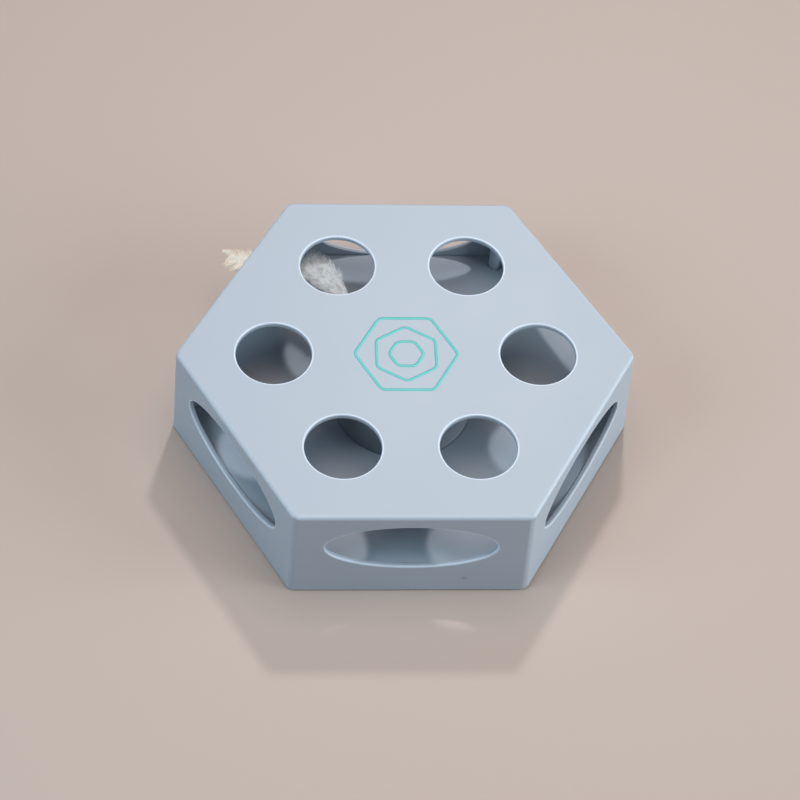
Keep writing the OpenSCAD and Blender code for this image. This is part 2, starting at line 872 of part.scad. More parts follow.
// Cells side by side
module battery_cells() {
  color(cell_colour)
    at_cells()
      rotate([-90, 0, 0]) {
        translate([0, 0, -cell_l / 2])
          cylinder(d = cell_d, h = cell_l - cell_cap_h);
        translate([0, 0, cell_l / 2 - cell_cap_h - eps])
          cylinder(d = cell_cap_d, h = cell_cap_h + eps);
      }
}

// Plates that meet the cells' caps
module contact_plates() {
  color(steel_colour)
    at_cells() {
      translate([-contact_w / 2, bay_y / 2 - contact_t, -contact_w / 2])
        cube([contact_w, contact_t, contact_w]);
      translate([0, bay_y / 2 - contact_t + eps, 0])
        rotate([90, 0, 0])
          cylinder(d = cell_cap_d, h = contact_room - contact_t - seat_gap);
    }
}

// Bowed leaves that press on the cells' flat ends
module contact_springs() {
  bow = contact_room - seat_gap;
  color(steel_colour)
    at_cells()
      translate([-contact_w / 4, -bay_y / 2, 0])
        rotate([90, 0, 90])
          linear_extrude(contact_w / 2)
            polygon([
              [0, -contact_w / 2], [contact_t, -contact_w / 2], [contact_t, -contact_w / 3],
              [bow, -contact_w / 8], [bow, contact_w / 8], [contact_t, contact_w / 3],
              [contact_t, contact_w / 2], [0, contact_w / 2], [0, contact_w / 4],
              [bow - contact_t, contact_w / 12], [bow - contact_t, -contact_w / 12], [0, -contact_w / 4]
            ]);
}

// Door under the cells, hooked by two tongues and held by one screw
module battery_door() {
  color(tray_colour)
    difference() {
      union() {
        translate([-bay_x / 2 - door_lap + fit_gap, door_end + fit_gap, foot_h])
          cube([bay_x + 2 * door_lap - 2 * fit_gap, bay_y / 2 + door_lap - door_end - 2 * fit_gap, door_t]);
        translate([-bay_x / 2 + fit_gap, -bay_y / 2 + fit_gap, foot_h + door_t - eps])
          cube([bay_x - 2 * fit_gap, bay_y - 2 * fit_gap, floor_t - door_t + eps]);
        at_tongues()
          translate([-tongue_w / 2, -fit_gap - eps, 0])
            cube([tongue_w, tongue_l + fit_gap, tongue_t]);
      }
      translate([0, door_screw_y, foot_h - past])
        cylinder(d = small_screw_d + fit_gap, h = door_t + 2 * past);
      translate([0, door_screw_y, foot_h - past])
        cylinder(d = head_d(small_screw_d) + fit_gap, h = door_head_seat + past);
    }
}

// Screw that holds the door
module door_screw() {
  color(steel_colour)
    translate([0, door_screw_y, foot_h + door_head_seat])
      mirror([0, 0, 1])
        screw(small_screw_d, floor_z - foot_h - door_head_seat + small_screw_grip - 2 * past);
}

// Control board on the roof of the bay
module control_board() {
  color(board_colour)
    difference() {
      translate([-board_w / 2, board_y - board_l / 2, board_z])
        cube([board_w, board_l, board_t]);
      at_board_screws()
        translate([0, 0, board_z - past])
          cylinder(d = board_screw_d + fit_gap, h = board_t + 2 * past);
    }
}

// Chip that times the toy's runs
module timer_chip() {
  legs = 4;
  leg_pitch = chip_w / legs;
  color(dark_colour)
    translate([-board_w / 5, board_y, board_top]) {
      translate([-chip_w / 2, -chip_w / 2, 0])
        cube([chip_w, chip_w, chip_h]);
      for (i = [0:legs - 1])
        translate([(i - (legs - 1) / 2) * leg_pitch - leg_pitch / 4, -chip_w / 2 - leg_pitch, 0])
          cube([leg_pitch / 2, chip_w + 2 * leg_pitch, chip_h / 3]);
    }
}

// Capacitor that steadies the supply
module board_capacitor() {
  color(cell_colour)
    translate([board_w / 5, board_y, board_top])
      cylinder(d = capacitor_d, h = capacitor_h);
}

// Screws that hold the board
module board_screws() {
  color(steel_colour)
    at_board_screws()
      translate([0, 0, board_top])
        screw(board_screw_d, board_t + board_grip - seat_gap);
}

// Switch body, open below where its slider runs
module switch_body() {
  color(dark_colour)
    difference() {
      translate([-switch_l / 2, switch_y - switch_w / 2, floor_z])
        cube([switch_l, switch_w, switch_h]);
      translate([-slot_l / 2 - (flange_l - knob_l) / 2, switch_y - flange_w / 2 - fit_gap, floor_z - past])
        cube([slot_l + flange_l - knob_l, flange_w + 2 * fit_gap, flange_t + stem_h + 2 * fit_gap + past]);
    }
}

// Slider of the switch: knob below, flange and stem in the body
module switch_slider() {
  color(rubber_colour)
    translate([-switch_travel / 2, switch_y, 0]) {
      translate([-knob_l / 2, -knob_w / 2, foot_h + fit_gap])
        cube([knob_l, knob_w, floor_t + eps]);
      translate([-flange_l / 2, -flange_w / 2, floor_z + fit_gap])
        cube([flange_l, flange_w, flange_t]);
      translate([-knob_l / 2, -knob_w / 2, floor_z + fit_gap])
        cube([knob_l, knob_w, flange_t + stem_h]);
    }
}

// Shaft that the output gear turns and the arm sits on
module rotor_shaft() {
  color(steel_colour)
    difference() {
      translate([0, 0, bore_z + seat_gap])
        cylinder(d = rotor_shaft_d, h = shaft_top - bore_z - seat_gap);
      translate([0, 0, shaft_top - small_screw_grip - past])
        cylinder(d = rotor_screw_d + 2 * seat_gap, h = small_screw_grip + 2 * past);
    }
}

// Output gear on the rotor's shaft
module output_gear() {
  color(gear_colour)
    difference() {
      translate([0, 0, level_2]) {
        rotate(idler_angle)
          linear_extrude(gear_face)
            gear_outline(wheel_teeth);
        cylinder(d = bush_d, h = gear_face + gear_gap / 2);
      }
      translate([0, 0, level_2 - past])
        cylinder(d = rotor_shaft_d + 2 * seat_gap, h = gear_face + gear_gap + 2 * past);
    }
}

// Arm with its hub on the shaft and its socket for the wand
module rotor_arm() {
  color(arm_colour)
    rotate(arm_angle)
      difference() {
        union() {
          translate([0, 0, hub_z])
            rotate_extrude() {
              square([hub_d / 2 - hub_round, hub_h]);
              square([hub_d / 2, hub_h - hub_round]);
              translate([hub_d / 2 - hub_round, hub_h - hub_round])
                circle(r = hub_round);
            }
          translate([0, 0, wand_z - arm_h / 2])
            linear_extrude(arm_h)
              polygon([
                [0, -arm_root_w / 2], [arm_reach - socket_l, -arm_tip_w / 2],
                [arm_reach - past, -arm_tip_w / 2], [arm_reach - past, arm_tip_w / 2],
                [arm_reach - socket_l, arm_tip_w / 2], [0, arm_root_w / 2]
              ]);
          translate([arm_reach - socket_l, 0, wand_z])
            rotate([0, 90, 0])
              cylinder(d = socket_d, h = socket_l);
        }
        translate([0, 0, hub_z - past])
          cylinder(d = rotor_shaft_d + 2 * seat_gap, h = shaft_top - hub_z + past + seat_gap);
        translate([0, 0, hub_z])
          cylinder(d = rotor_screw_d + fit_gap, h = hub_h + past);
        translate([arm_reach - socket_l + past, 0, wand_z])
          rotate([0, 90, 0])
            cylinder(d = wand_d + 2 * seat_gap, h = socket_l);
      }
}

// Screw that holds the arm on the shaft
module rotor_screw() {
  color(steel_colour)
    translate([0, 0, hub_top])
      screw(rotor_screw_d, hub_top - shaft_top + small_screw_grip);
}

// Springy wire between the arm and the feathers
module feather_wand() {
  color(steel_colour)
    rotate(arm_angle)
      translate([arm_reach - socket_l + past + seat_gap, 0, wand_z])
        rotate([0, 90, 0])
          cylinder(d = wand_d, h = wand_reach - arm_reach + socket_l - past - seat_gap);
}

// Crimped sleeve that holds the quills on the wire
module wand_ferrule() {
  color(brass_colour)
    rotate(arm_angle)
      translate([wand_reach - ferrule_grip, 0, wand_z])
        rotate([0, 90, 0])
          difference() {
            cylinder(d = ferrule_d, h = ferrule_grip + ferrule_cup);
            translate([0, 0, -past])
              cylinder(d = wand_d + 2 * seat_gap, h = ferrule_grip + 2 * past);
            translate([0, 0, ferrule_grip])
              cylinder(d = ferrule_d - 2 * ferrule_wall, h = ferrule_cup + past);
          }
}

// Fluffy bunch: a soft fan that swells past the ferrule and hangs a little
function fluff_half_w(t) = fluff_w / 2 * pow(sin(180 * pow(0.02 + 0.94 * t, 0.8)), 0.8);
function fluff_half_t(t) = fluff_root_t / 2 + (fluff_t - fluff_root_t) / 2 * pow(sin(180 * t), 0.9);
function fluff_drop(t) = quill_r + fluff_droop * pow(t, 0.8);
module fluff_feathers() {
  color(fluff_colour)
    loft([
      for (k = [0:fluff_steps])
        let (t = k / fluff_steps)
        let (r = fluff_start + (fluff_reach - fluff_start) * t)
        ring(
          at(r, arm_angle - fluff_turn * t, wand_z - fluff_drop(t)),
          across(arm_angle) * fluff_half_w(t),
          [0, 0, fluff_half_t(t)],
          fluff_sides
        )
    ]);
}

// Long feather: a thin vane on a quill, swept round and drooping to a round tip
function vane_at(t) = max(0, (t - vane_start) / (1 - vane_start));
function vane_half_w(t) =
  quill_r + (feather_w / 2 - quill_r) * sqrt(max(0, sin(180 * pow(vane_at(t), vane_fullness))));
module long_feather() {
  color(feather_colour)
    loft([
      for (k = [0:feather_steps])
        let (t = k / feather_steps)
        let (a = arm_angle + feather_sweep * t)
        let (r = feather_root + (feather_reach - feather_root) * t)
        ring(
          at(r, a, wand_z + quill_lift - feather_droop * t * t),
          across(a) * vane_half_w(t),
          [0, 0, feather_t / 2],
          vane_sides
        )
    ]);
}

// Idler: a wheel and a pinion in one moulding
module idler_gear() {
  low = plate_top + 2 * run_gap;
  high = cap_z - 2 * run_gap;
  color(gear_colour)
    translate(idler_at)
      difference() {
        union() {
          translate([0, 0, low])
            cylinder(d = collar_d, h = high - low);
          translate([0, 0, level_1])
            rotate(motor_angle)
              linear_extrude(gear_face)
                gear_outline(wheel_teeth);
          translate([0, 0, level_1 + gear_face - eps])
            rotate(idler_angle + 180 + 180 / pinion_teeth)
              linear_extrude(gear_face + gear_gap + eps)
                gear_outline(pinion_teeth);
        }
        translate([0, 0, low - past])
          cylinder(d = axle_d + 2 * run_gap, h = high - low + 2 * past);
      }
}

// Shaft of the motor
module motor_shaft() {
  color(steel_colour)
    translate(concat(motor_at, plate_z - motor_shaft_in))
      cylinder(d = motor_shaft_d, h = motor_shaft_in + level_1 + gear_face - plate_z);
}

// Pinion pressed on the motor's shaft
module motor_pinion() {
  color(gear_colour)
    translate(concat(motor_at, level_1))
      difference() {
        rotate(motor_angle + 180 + 180 / pinion_teeth)
          linear_extrude(gear_face)
            gear_outline(pinion_teeth);
        translate([0, 0, -past])
          cylinder(d = motor_shaft_d + 2 * seat_gap, h = gear_face + 2 * past);
      }
}

top_cover();
base_tray();
deck();
rubber_feet();
cover_screws();
motor_tower();
tower_base_screws();
gear_plate();
tower_cap();
tower_screws();
motor_can();
motor_endcap();
motor_screws();
motor_leads();
rotor_bush();
idler_axle();
battery_cells();
contact_plates();
contact_springs();
battery_door();
door_screw();
control_board();
timer_chip();
board_capacitor();
board_screws();
switch_body();
rotor_shaft();
output_gear();
rotor_arm();
rotor_screw();
feather_wand();
wand_ferrule();
fluff_feathers();
long_feather();
idler_gear();
motor_shaft();
motor_pinion();
switch_slider();
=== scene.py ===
"""Feather cat toy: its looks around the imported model, laid out as an add-on."""

import json
import math
import random
from functools import partial

import bmesh
import bpy
from bpy.props import FloatProperty, FloatVectorProperty, IntProperty, PointerProperty
from mathutils import Matrix, Vector


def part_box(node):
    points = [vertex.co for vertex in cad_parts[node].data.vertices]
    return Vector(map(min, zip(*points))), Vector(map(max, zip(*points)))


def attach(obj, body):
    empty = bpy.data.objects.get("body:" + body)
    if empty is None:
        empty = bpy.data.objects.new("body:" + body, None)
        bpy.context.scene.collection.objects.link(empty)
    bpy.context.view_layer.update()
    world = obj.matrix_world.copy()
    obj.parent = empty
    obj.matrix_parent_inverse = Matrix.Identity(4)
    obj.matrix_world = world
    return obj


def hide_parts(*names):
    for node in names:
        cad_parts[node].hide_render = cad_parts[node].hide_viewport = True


bl_info = {
    "name": "Feather cat toy",
    "version": (1, 0, 0),
    "blender": (4, 5, 0),
    "location": "3D View > Sidebar > Cat toy",
    "description": "Dresses a hexagonal box whose motor carries feathers past holes and windows",
    "category": "Object",
}

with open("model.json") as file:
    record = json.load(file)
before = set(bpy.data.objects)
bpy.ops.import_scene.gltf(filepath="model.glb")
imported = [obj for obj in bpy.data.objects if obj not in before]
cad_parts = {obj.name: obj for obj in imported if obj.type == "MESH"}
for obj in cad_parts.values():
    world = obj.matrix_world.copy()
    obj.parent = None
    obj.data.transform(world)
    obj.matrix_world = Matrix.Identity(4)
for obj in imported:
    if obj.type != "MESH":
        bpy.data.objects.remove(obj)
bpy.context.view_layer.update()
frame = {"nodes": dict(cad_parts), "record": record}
NODES = frame["nodes"]
MM = 0.001
UP = Vector((0, 0, 1))
SIDES = 6
SIDE_TURN = 360 / SIDES
HALF_SIDE = SIDE_TURN / 2
# Distance of a hexagon's sides from its middle, as a share of its corners'
FLAT_SHARE = math.cos(math.radians(HALF_SIDE))

# How much paler plastic is painted along lips, rims and edges as a painted highlight, how much smoother it is
# there, and how patchy the highlight is
PAINTED_HIGHLIGHT_PALER = 1.6
HIGHLIGHT_SMOOTHER = 0.08
PAINTED_HIGHLIGHT_PATCHES = (0.6, 1.3)

# How gloss and relief vary over plastic and metal, and how dull and bright metal is
CLOUD_GLOSS = 0.07
GRAIN_DEPTH = 0.0002
STREAK_GLOSS = (-0.1, 0.14)
STREAK_STRENGTH = 0.1
STREAK_DEPTH = 0.0001
STAIN_SHADES = (0.86, 1.1)

# Colours of the pieces inside and below, and shades of the cover's plastic
TRAY_SHADE = 0.94
# The tower's plastic is darkened as painted shade, for the shade that falls inside the housing
TOWER_PAINTED_SHADE = 0.5
GATE_SHADE = 0.8
RUBBER = (0.03, 0.03, 0.032)
NYLON = (0.80, 0.78, 0.70)
BLACK = (0.022, 0.022, 0.025)
LEAD_RED = (0.35, 0.02, 0.02)
ARM_GREY = (0.62, 0.66, 0.70)
STEEL = (0.60, 0.61, 0.63)
SPRING_STEEL = (0.66, 0.65, 0.62)
ZINC = (0.55, 0.55, 0.57)
WIRE = (0.55, 0.56, 0.58)
BRASS = (0.70, 0.50, 0.20)

# Where a feather's blotches start and end in their noise, and how its gloss varies
BLOTCH_EDGE = (0.45, 0.62)
FEATHER_GLOSS = 0.1

# A barb's bend, a barb's and a quill's taper, the shortest barb that is kept, and a feather's blunt outline
BARB_BEND = (0.62, 0.28, 0.03)
BARB_TAPER = 0.72
QUILL_TAPER = 0.8
QUILL_SIDES = 6
LEAST_BARB = 0.0004
BLUNTNESS = 0.6


# Node trees


def fill(tree, made, inputs):
    """Sets a node's inputs to values, or links them to outputs."""
    for key, value in dict(inputs).items():
        if isinstance(value, bpy.types.NodeSocket):
            tree.links.new(value, made.inputs[key])
        else:
            made.inputs[key].default_value = value


def place(tree, kind, inputs=(), **settings):
    """A new node with its settings and its inputs."""
    made = tree.nodes.new(kind)
    for key, value in settings.items():
        setattr(made, key, value)
    fill(tree, made, inputs)
    return made


def first(tree, kind, inputs=(), **settings):
    """First output of a new node."""
    return place(tree, kind, inputs, **settings).outputs[0]


def calc(tree, operation, *values):
    """Output of a Math node."""
    return first(tree, "ShaderNodeMath", dict(enumerate(values)), operation=operation)


def aim(tree, operation, *values):
    """Output of a Vector Math node."""
    return first(tree, "ShaderNodeVectorMath", dict(enumerate(values)), operation=operation)


def new_group(name, kind, inputs, outputs):
    """A node tree with named sockets, and what its inputs give.

    A socket is stated by its default, or by its kind where it has none.
    """
    kinds = {float: "Float", int: "Int", tuple: "Vector"}
    tree = bpy.data.node_groups.new(name, kind)
    for side, sockets in (("INPUT", inputs), ("OUTPUT", outputs)):
        for label, default in sockets.items():
            sort = kinds.get(type(default), default)
            made = tree.interface.new_socket(name=label, in_out=side, socket_type="NodeSocket" + sort)
            if sort != default:
                made.default_value = default
    return tree, place(tree, "NodeGroupInput").outputs


def blend_colour(tree, factor, low, high):
    """Output of a colour mix."""
    return place(tree, "ShaderNodeMix", {0: factor, 6: low, 7: high}, data_type="RGBA").outputs[2]


def spread_over(tree, value, low, high):
    """A value from 0 to 1 stretched between two others."""
    return first(tree, "ShaderNodeMapRange", {"Value": value, "To Min": low, "To Max": high})


def fading(tree, value, full, gone):
    """1 up to one value, falling smoothly to 0 at another."""
    span = {"Value": value, "From Min": full, "From Max": gone, "To Min": 1.0, "To Max": 0.0}
    return first(tree, "ShaderNodeMapRange", span, interpolation_type="SMOOTHSTEP")


def noise(tree, point, scale, detail, rough=0.5):
    """Value of a noise at a point, mostly near one half."""
    values = {"Vector": point, "Scale": scale, "Detail": detail, "Roughness": rough}
    return place(tree, "ShaderNodeTexNoise", values).outputs["Fac"]


# Finishes


def grain_group():
    """Cloudy shade and fine height of a moulded surface."""
    tree, given = new_group(
        "moulded_grain",
        "ShaderNodeTree",
        {"Vector": "Vector", "Cloud Scale": 20.0, "Fine Scale": 1500.0},
        {"Cloud": "Float", "Height": "Float"},
    )
    cloud = noise(tree, given["Vector"], given["Cloud Scale"], detail=4.0, rough=0.6)
    fine = noise(tree, given["Vector"], given["Fine Scale"], detail=2.0)
    place(tree, "NodeGroupOutput", {"Cloud": cloud, "Height": fine})
    return tree


def brush_group():
    """Streaks that run along one direction of a turned, drawn or plated surface."""
    tree, given = new_group(
        "brushed_streaks",
        "ShaderNodeTree",
        {"Vector": "Vector", "Stretch": (900.0, 900.0, 90.0)},
        {"Streak": "Float", "Stain": "Float"},
    )
    stretched = aim(tree, "MULTIPLY", given["Vector"], given["Stretch"])
    streak = noise(tree, stretched, scale=1.0, detail=3.0)
    stain = noise(tree, given["Vector"], scale=160.0, detail=3.0)
    place(tree, "NodeGroupOutput", {"Streak": streak, "Stain": stain})
    return tree


GRAIN = grain_group()
BRUSH = brush_group()


def rgba(colour):
    """A colour with full alpha."""
    return (*colour, 1.0)


def shade(colour, share):
    """A colour made darker or lighter."""
    return tuple(min(1.0, c * share) for c in colour)


def new_material(name):
    """A material, its node tree and its Principled shader."""
    made = bpy.data.materials.new(name)
    made.use_nodes = True
    return made, made.node_tree, made.node_tree.nodes["Principled BSDF"]


def object_point(tree):
    """Where a point of the surface lies in the object's own frame."""
    return place(tree, "ShaderNodeTexCoord").outputs["Object"]


def bumped(tree, shader, height, strength, distance):
    """Gives a shader fine relief."""
    raised = first(tree, "ShaderNodeBump", {"Height": height, "Strength": strength, "Distance": distance})
    fill(tree, shader, {"Normal": raised})


def moulded(name, colour, rough=0.5, bump=0.12, cloud=20.0, fine=1500.0, spread=0.05, painted_highlight_mask=None):
    """Moulded plastic or rubber: faint clouds of shade and gloss over a fine grain.

    The last argument makes the mask of the edges that get a painted highlight, paler in colour, and a
    smoother gloss.
    """
    made, tree, shader = new_material(name)
    point = object_point(tree)
    scales = {"Vector": point, "Cloud Scale": cloud, "Fine Scale": fine}
    grain = place(tree, "ShaderNodeGroup", scales, node_tree=GRAIN).outputs
    dark, light = (rgba(shade(colour, share)) for share in (1 - spread, 1 + spread))
    colours = blend_colour(tree, grain["Cloud"], dark, light)
    gloss = spread_over(tree, grain["Cloud"], rough - CLOUD_GLOSS, rough + CLOUD_GLOSS)
    if painted_highlight_mask:
        patches = spread_over(tree, grain["Cloud"], *PAINTED_HIGHLIGHT_PATCHES)
        mask = calc(tree, "MULTIPLY", painted_highlight_mask(tree, point), patches)
        # Painted highlight: paler colour along the masked lips, rims and edges
        colours = blend_colour(tree, mask, colours, rgba(shade(colour, PAINTED_HIGHLIGHT_PALER)))
        gloss = calc(tree, "SUBTRACT", gloss, calc(tree, "MULTIPLY", mask, HIGHLIGHT_SMOOTHER))
    fill(tree, shader, {"Base Color": colours, "Roughness": gloss})
    bumped(tree, shader, grain["Height"], bump, GRAIN_DEPTH)
    return made


def metal(name, colour, rough=0.32, stretch=(900.0, 900.0, 90.0)):
    """Bare or plated metal with fine streaks and a few dull stains."""
    made, tree, shader = new_material(name)
    streaks = {"Vector": object_point(tree), "Stretch": stretch}
    brush = place(tree, "ShaderNodeGroup", streaks, node_tree=BRUSH).outputs
    dull, bright = (rgba(shade(colour, share)) for share in STAIN_SHADES)
    colours = blend_colour(tree, brush["Stain"], dull, bright)
    gloss = spread_over(tree, brush["Streak"], *(rough + change for change in STREAK_GLOSS))
    fill(tree, shader, {"Base Color": colours, "Metallic": 1.0, "Roughness": gloss})
    bumped(tree, shader, brush["Streak"], STREAK_STRENGTH, STREAK_DEPTH)
    return made


def cell_jacket(name):
    """Dark film round a cell, with a copper-coloured band and a bare rim at each end."""
    band_at, rim_at, gloss = 0.0165, 0.0208, (0.22, 0.4)
    dark, light = (0.02, 0.03, 0.05, 1), (0.05, 0.06, 0.09, 1)
    copper, bare = (0.45, 0.27, 0.10, 1), (0.6, 0.6, 0.62, 1)
    made, tree, shader = new_material(name)
    point = object_point(tree)
    grain = place(tree, "ShaderNodeGroup", {"Vector": point}, node_tree=GRAIN).outputs
    along = calc(tree, "ABSOLUTE", place(tree, "ShaderNodeSeparateXYZ", {0: point}).outputs["Y"])
    band = calc(tree, "GREATER_THAN", along, band_at)
    rim = calc(tree, "GREATER_THAN", along, rim_at)
    film = blend_colour(tree, grain["Cloud"], dark, light)
    colours = blend_colour(tree, rim, blend_colour(tree, band, film, copper), bare)
    rough = spread_over(tree, grain["Cloud"], *gloss)
    fill(tree, shader, {"Base Color": colours, "Metallic": rim, "Roughness": rough})
    return made


def board_lacquer(name):
    """Green lacquer over copper tracks."""
    dark, light, raised = (0.01, 0.10, 0.03, 1), (0.02, 0.15, 0.05, 1), (0.05, 0.26, 0.09, 1)
    gloss, strength, depth = (0.3, 0.42), 0.4, 0.0001
    made, tree, shader = new_material(name)
    point = object_point(tree)
    grain = place(tree, "ShaderNodeGroup", {"Vector": point}, node_tree=GRAIN).outputs
    layout = {"Vector": point, "Scale": 260.0, "Mortar Size": 0.09, "Mortar Smooth": 0.1}
    tracks = place(tree, "ShaderNodeTexBrick", layout).outputs["Fac"]
    ground = blend_colour(tree, grain["Cloud"], dark, light)
    colours = blend_colour(tree, tracks, ground, raised)
    fill(tree, shader, {"Base Color": colours, "Roughness": spread_over(tree, tracks, *gloss)})
    bumped(tree, shader, tracks, strength, depth)
    return made


def plumage(name, root, tip, mottle, rough=0.75, blotches=140.0):
    """Feather barbs that go from one colour at the quill to another at their ends, with soft blotches."""
    made, tree, shader = new_material(name)
    along = place(tree, "ShaderNodeAttribute", attribute_name="along").outputs["Fac"]
    blotch = noise(tree, object_point(tree), blotches, detail=4.0, rough=0.65)
    body = blend_colour(tree, along, rgba(root), rgba(tip))
    start, end = BLOTCH_EDGE
    patch = first(tree, "ShaderNodeMapRange", {"Value": blotch, "From Min": start, "From Max": end})
    colours = blend_colour(tree, patch, body, rgba(mottle))
    gloss = spread_over(tree, blotch, rough - FEATHER_GLOSS, rough + FEATHER_GLOSS)
    fill(tree, shader, {"Base Color": colours, "Roughness": gloss})
    return made


# Meshes


def coat(mesh, material):
    """Gives a mesh one material."""
    mesh.materials.clear()
    mesh.materials.append(material)


def finished(name, mesh, material=None):
    """A new object at the origin, with its place in its mesh."""
    made = bpy.data.objects.new(name, mesh)
    bpy.context.scene.collection.objects.link(made)
    if material:
        coat(mesh, material)
    return made


def dress(material, *names):
    """Gives CAD nodes a material."""
    for name in names:
        coat(NODES[name].data, material)


def polar(r, degrees, z=0.0):
    """A point at a radius, a direction and a height."""
    a = math.radians(degrees)
    return Vector((r * math.cos(a), r * math.sin(a), z))


def across(degrees):
    """The way round the axis at a direction."""
    a = math.radians(degrees)
    return Vector((-math.sin(a), math.cos(a), 0))


def mix(low, high, share):
    """A value or point between two others."""
    return low + (high - low) * share


def shares(n):
    """Even steps from 0 to 1."""
    return [i / n for i in range(n + 1)]


def outline(share, bare, fullness):
    """A feather's half width at a share of its length, as a share of the greatest."""
    past = max(0.0, share - bare) / (1 - bare)
    return max(0.0, math.sin(math.pi * past**fullness)) ** BLUNTNESS


def run_nodes(name, mesh, tree, values, material):
    """The mesh that a Geometry Nodes tree makes from a mesh, as a finished object."""
    guide = finished(name + "_guide", mesh)
    modifier = guide.modifiers.new("nodes", "NODES")
    modifier.node_group = tree
    values = {**values, "Material": material}
    for socket in tree.interface.items_tree:
        if socket.name in values:
            modifier[socket.identifier] = values[socket.name]
    bpy.context.view_layer.update()
    made = bpy.data.meshes.new_from_object(guide.evaluated_get(bpy.context.evaluated_depsgraph_get()))
    made.name = name
    guide.modifiers.clear()
    bpy.data.objects.remove(guide)
    if not made.polygons:
        raise RuntimeError(name + " has no faces")
    return finished(name, made, material)


def polylines(name, lines):
    """Mesh of open lines, each a list of (point, half width)."""
    mesh = bpy.data.meshes.new(name)
    points, edges, widths = [], [], []
    for line in lines:
        start = len(points)
        points += [p for p, _ in line]
        widths += [w for _, w in line]
        edges += [(start + i, start + i + 1) for i in range(len(line) - 1)]
    mesh.from_pydata(points, edges, [])
    mesh.attributes.new("half_width", "FLOAT", "POINT").data.foreach_set("value", widths)
    return mesh


def loops_mesh(name, loops, level):
    """Mesh of closed loops and single strokes, laid flat at a level."""
    mesh = bpy.data.meshes.new(name)
    points, edges = [], []
    for loop in loops:
        start, n = len(points), len(loop)
        points += [p + UP * level for p in loop]
        edges += [(start + i, start + i + 1) for i in range(n - 1)]
        if n > 2:
            edges.append((start + n - 1, start))
    mesh.from_pydata(points, edges, [])
    return mesh


def drawn(tree, low, high, seed):
    """A random value for each instance."""
    values = {2: low, 3: high, "Seed": seed}
    return place(tree, "FunctionNodeRandomValue", values, data_type="FLOAT").outputs["Value"]


def named(tree, shape, name, value):
    """A shape with a named value kept on its points."""
    values = {"Geometry": shape, "Name": name, "Value": value}
    return first(tree, "GeometryNodeStoreNamedAttribute", values)


def circle(tree, sides, radius):
    """A round section."""
    return first(tree, "GeometryNodeCurvePrimitiveCircle", {"Resolution": sides, "Radius": radius})


def rectangle(tree, width, height):
    """A section with four corners."""
    sizes = {"Width": width, "Height": height}
    return first(tree, "GeometryNodeCurvePrimitiveQuadrilateral", sizes, mode="RECTANGLE")


def swept(tree, curve, section, scale):
    """A section drawn along a curve, closed at both ends."""
    values = {"Curve": curve, "Profile Curve": section, "Scale": scale, "Fill Caps": True}
    return first(tree, "GeometryNodeCurveToMesh", values)


def end_tree(tree, shape, material):
    """Ends a tree with real geometry that has its material."""
    real = first(tree, "GeometryNodeRealizeInstances", {0: shape})
    painted = first(tree, "GeometryNodeSetMaterial", {"Geometry": real, "Material": material})
    place(tree, "NodeGroupOutput", {0: painted})


def wall_slope(settings):
    """How far a wall's outer face leans out for each step down."""
    return settings.draft / settings.height / 2 * FLAT_SHARE


def wall_at(settings, z):
    """How far a wall's outer face stands from the axis at a height."""
    return settings.roof_width / 2 * FLAT_SHARE + wall_slope(settings) * (settings.height - z)


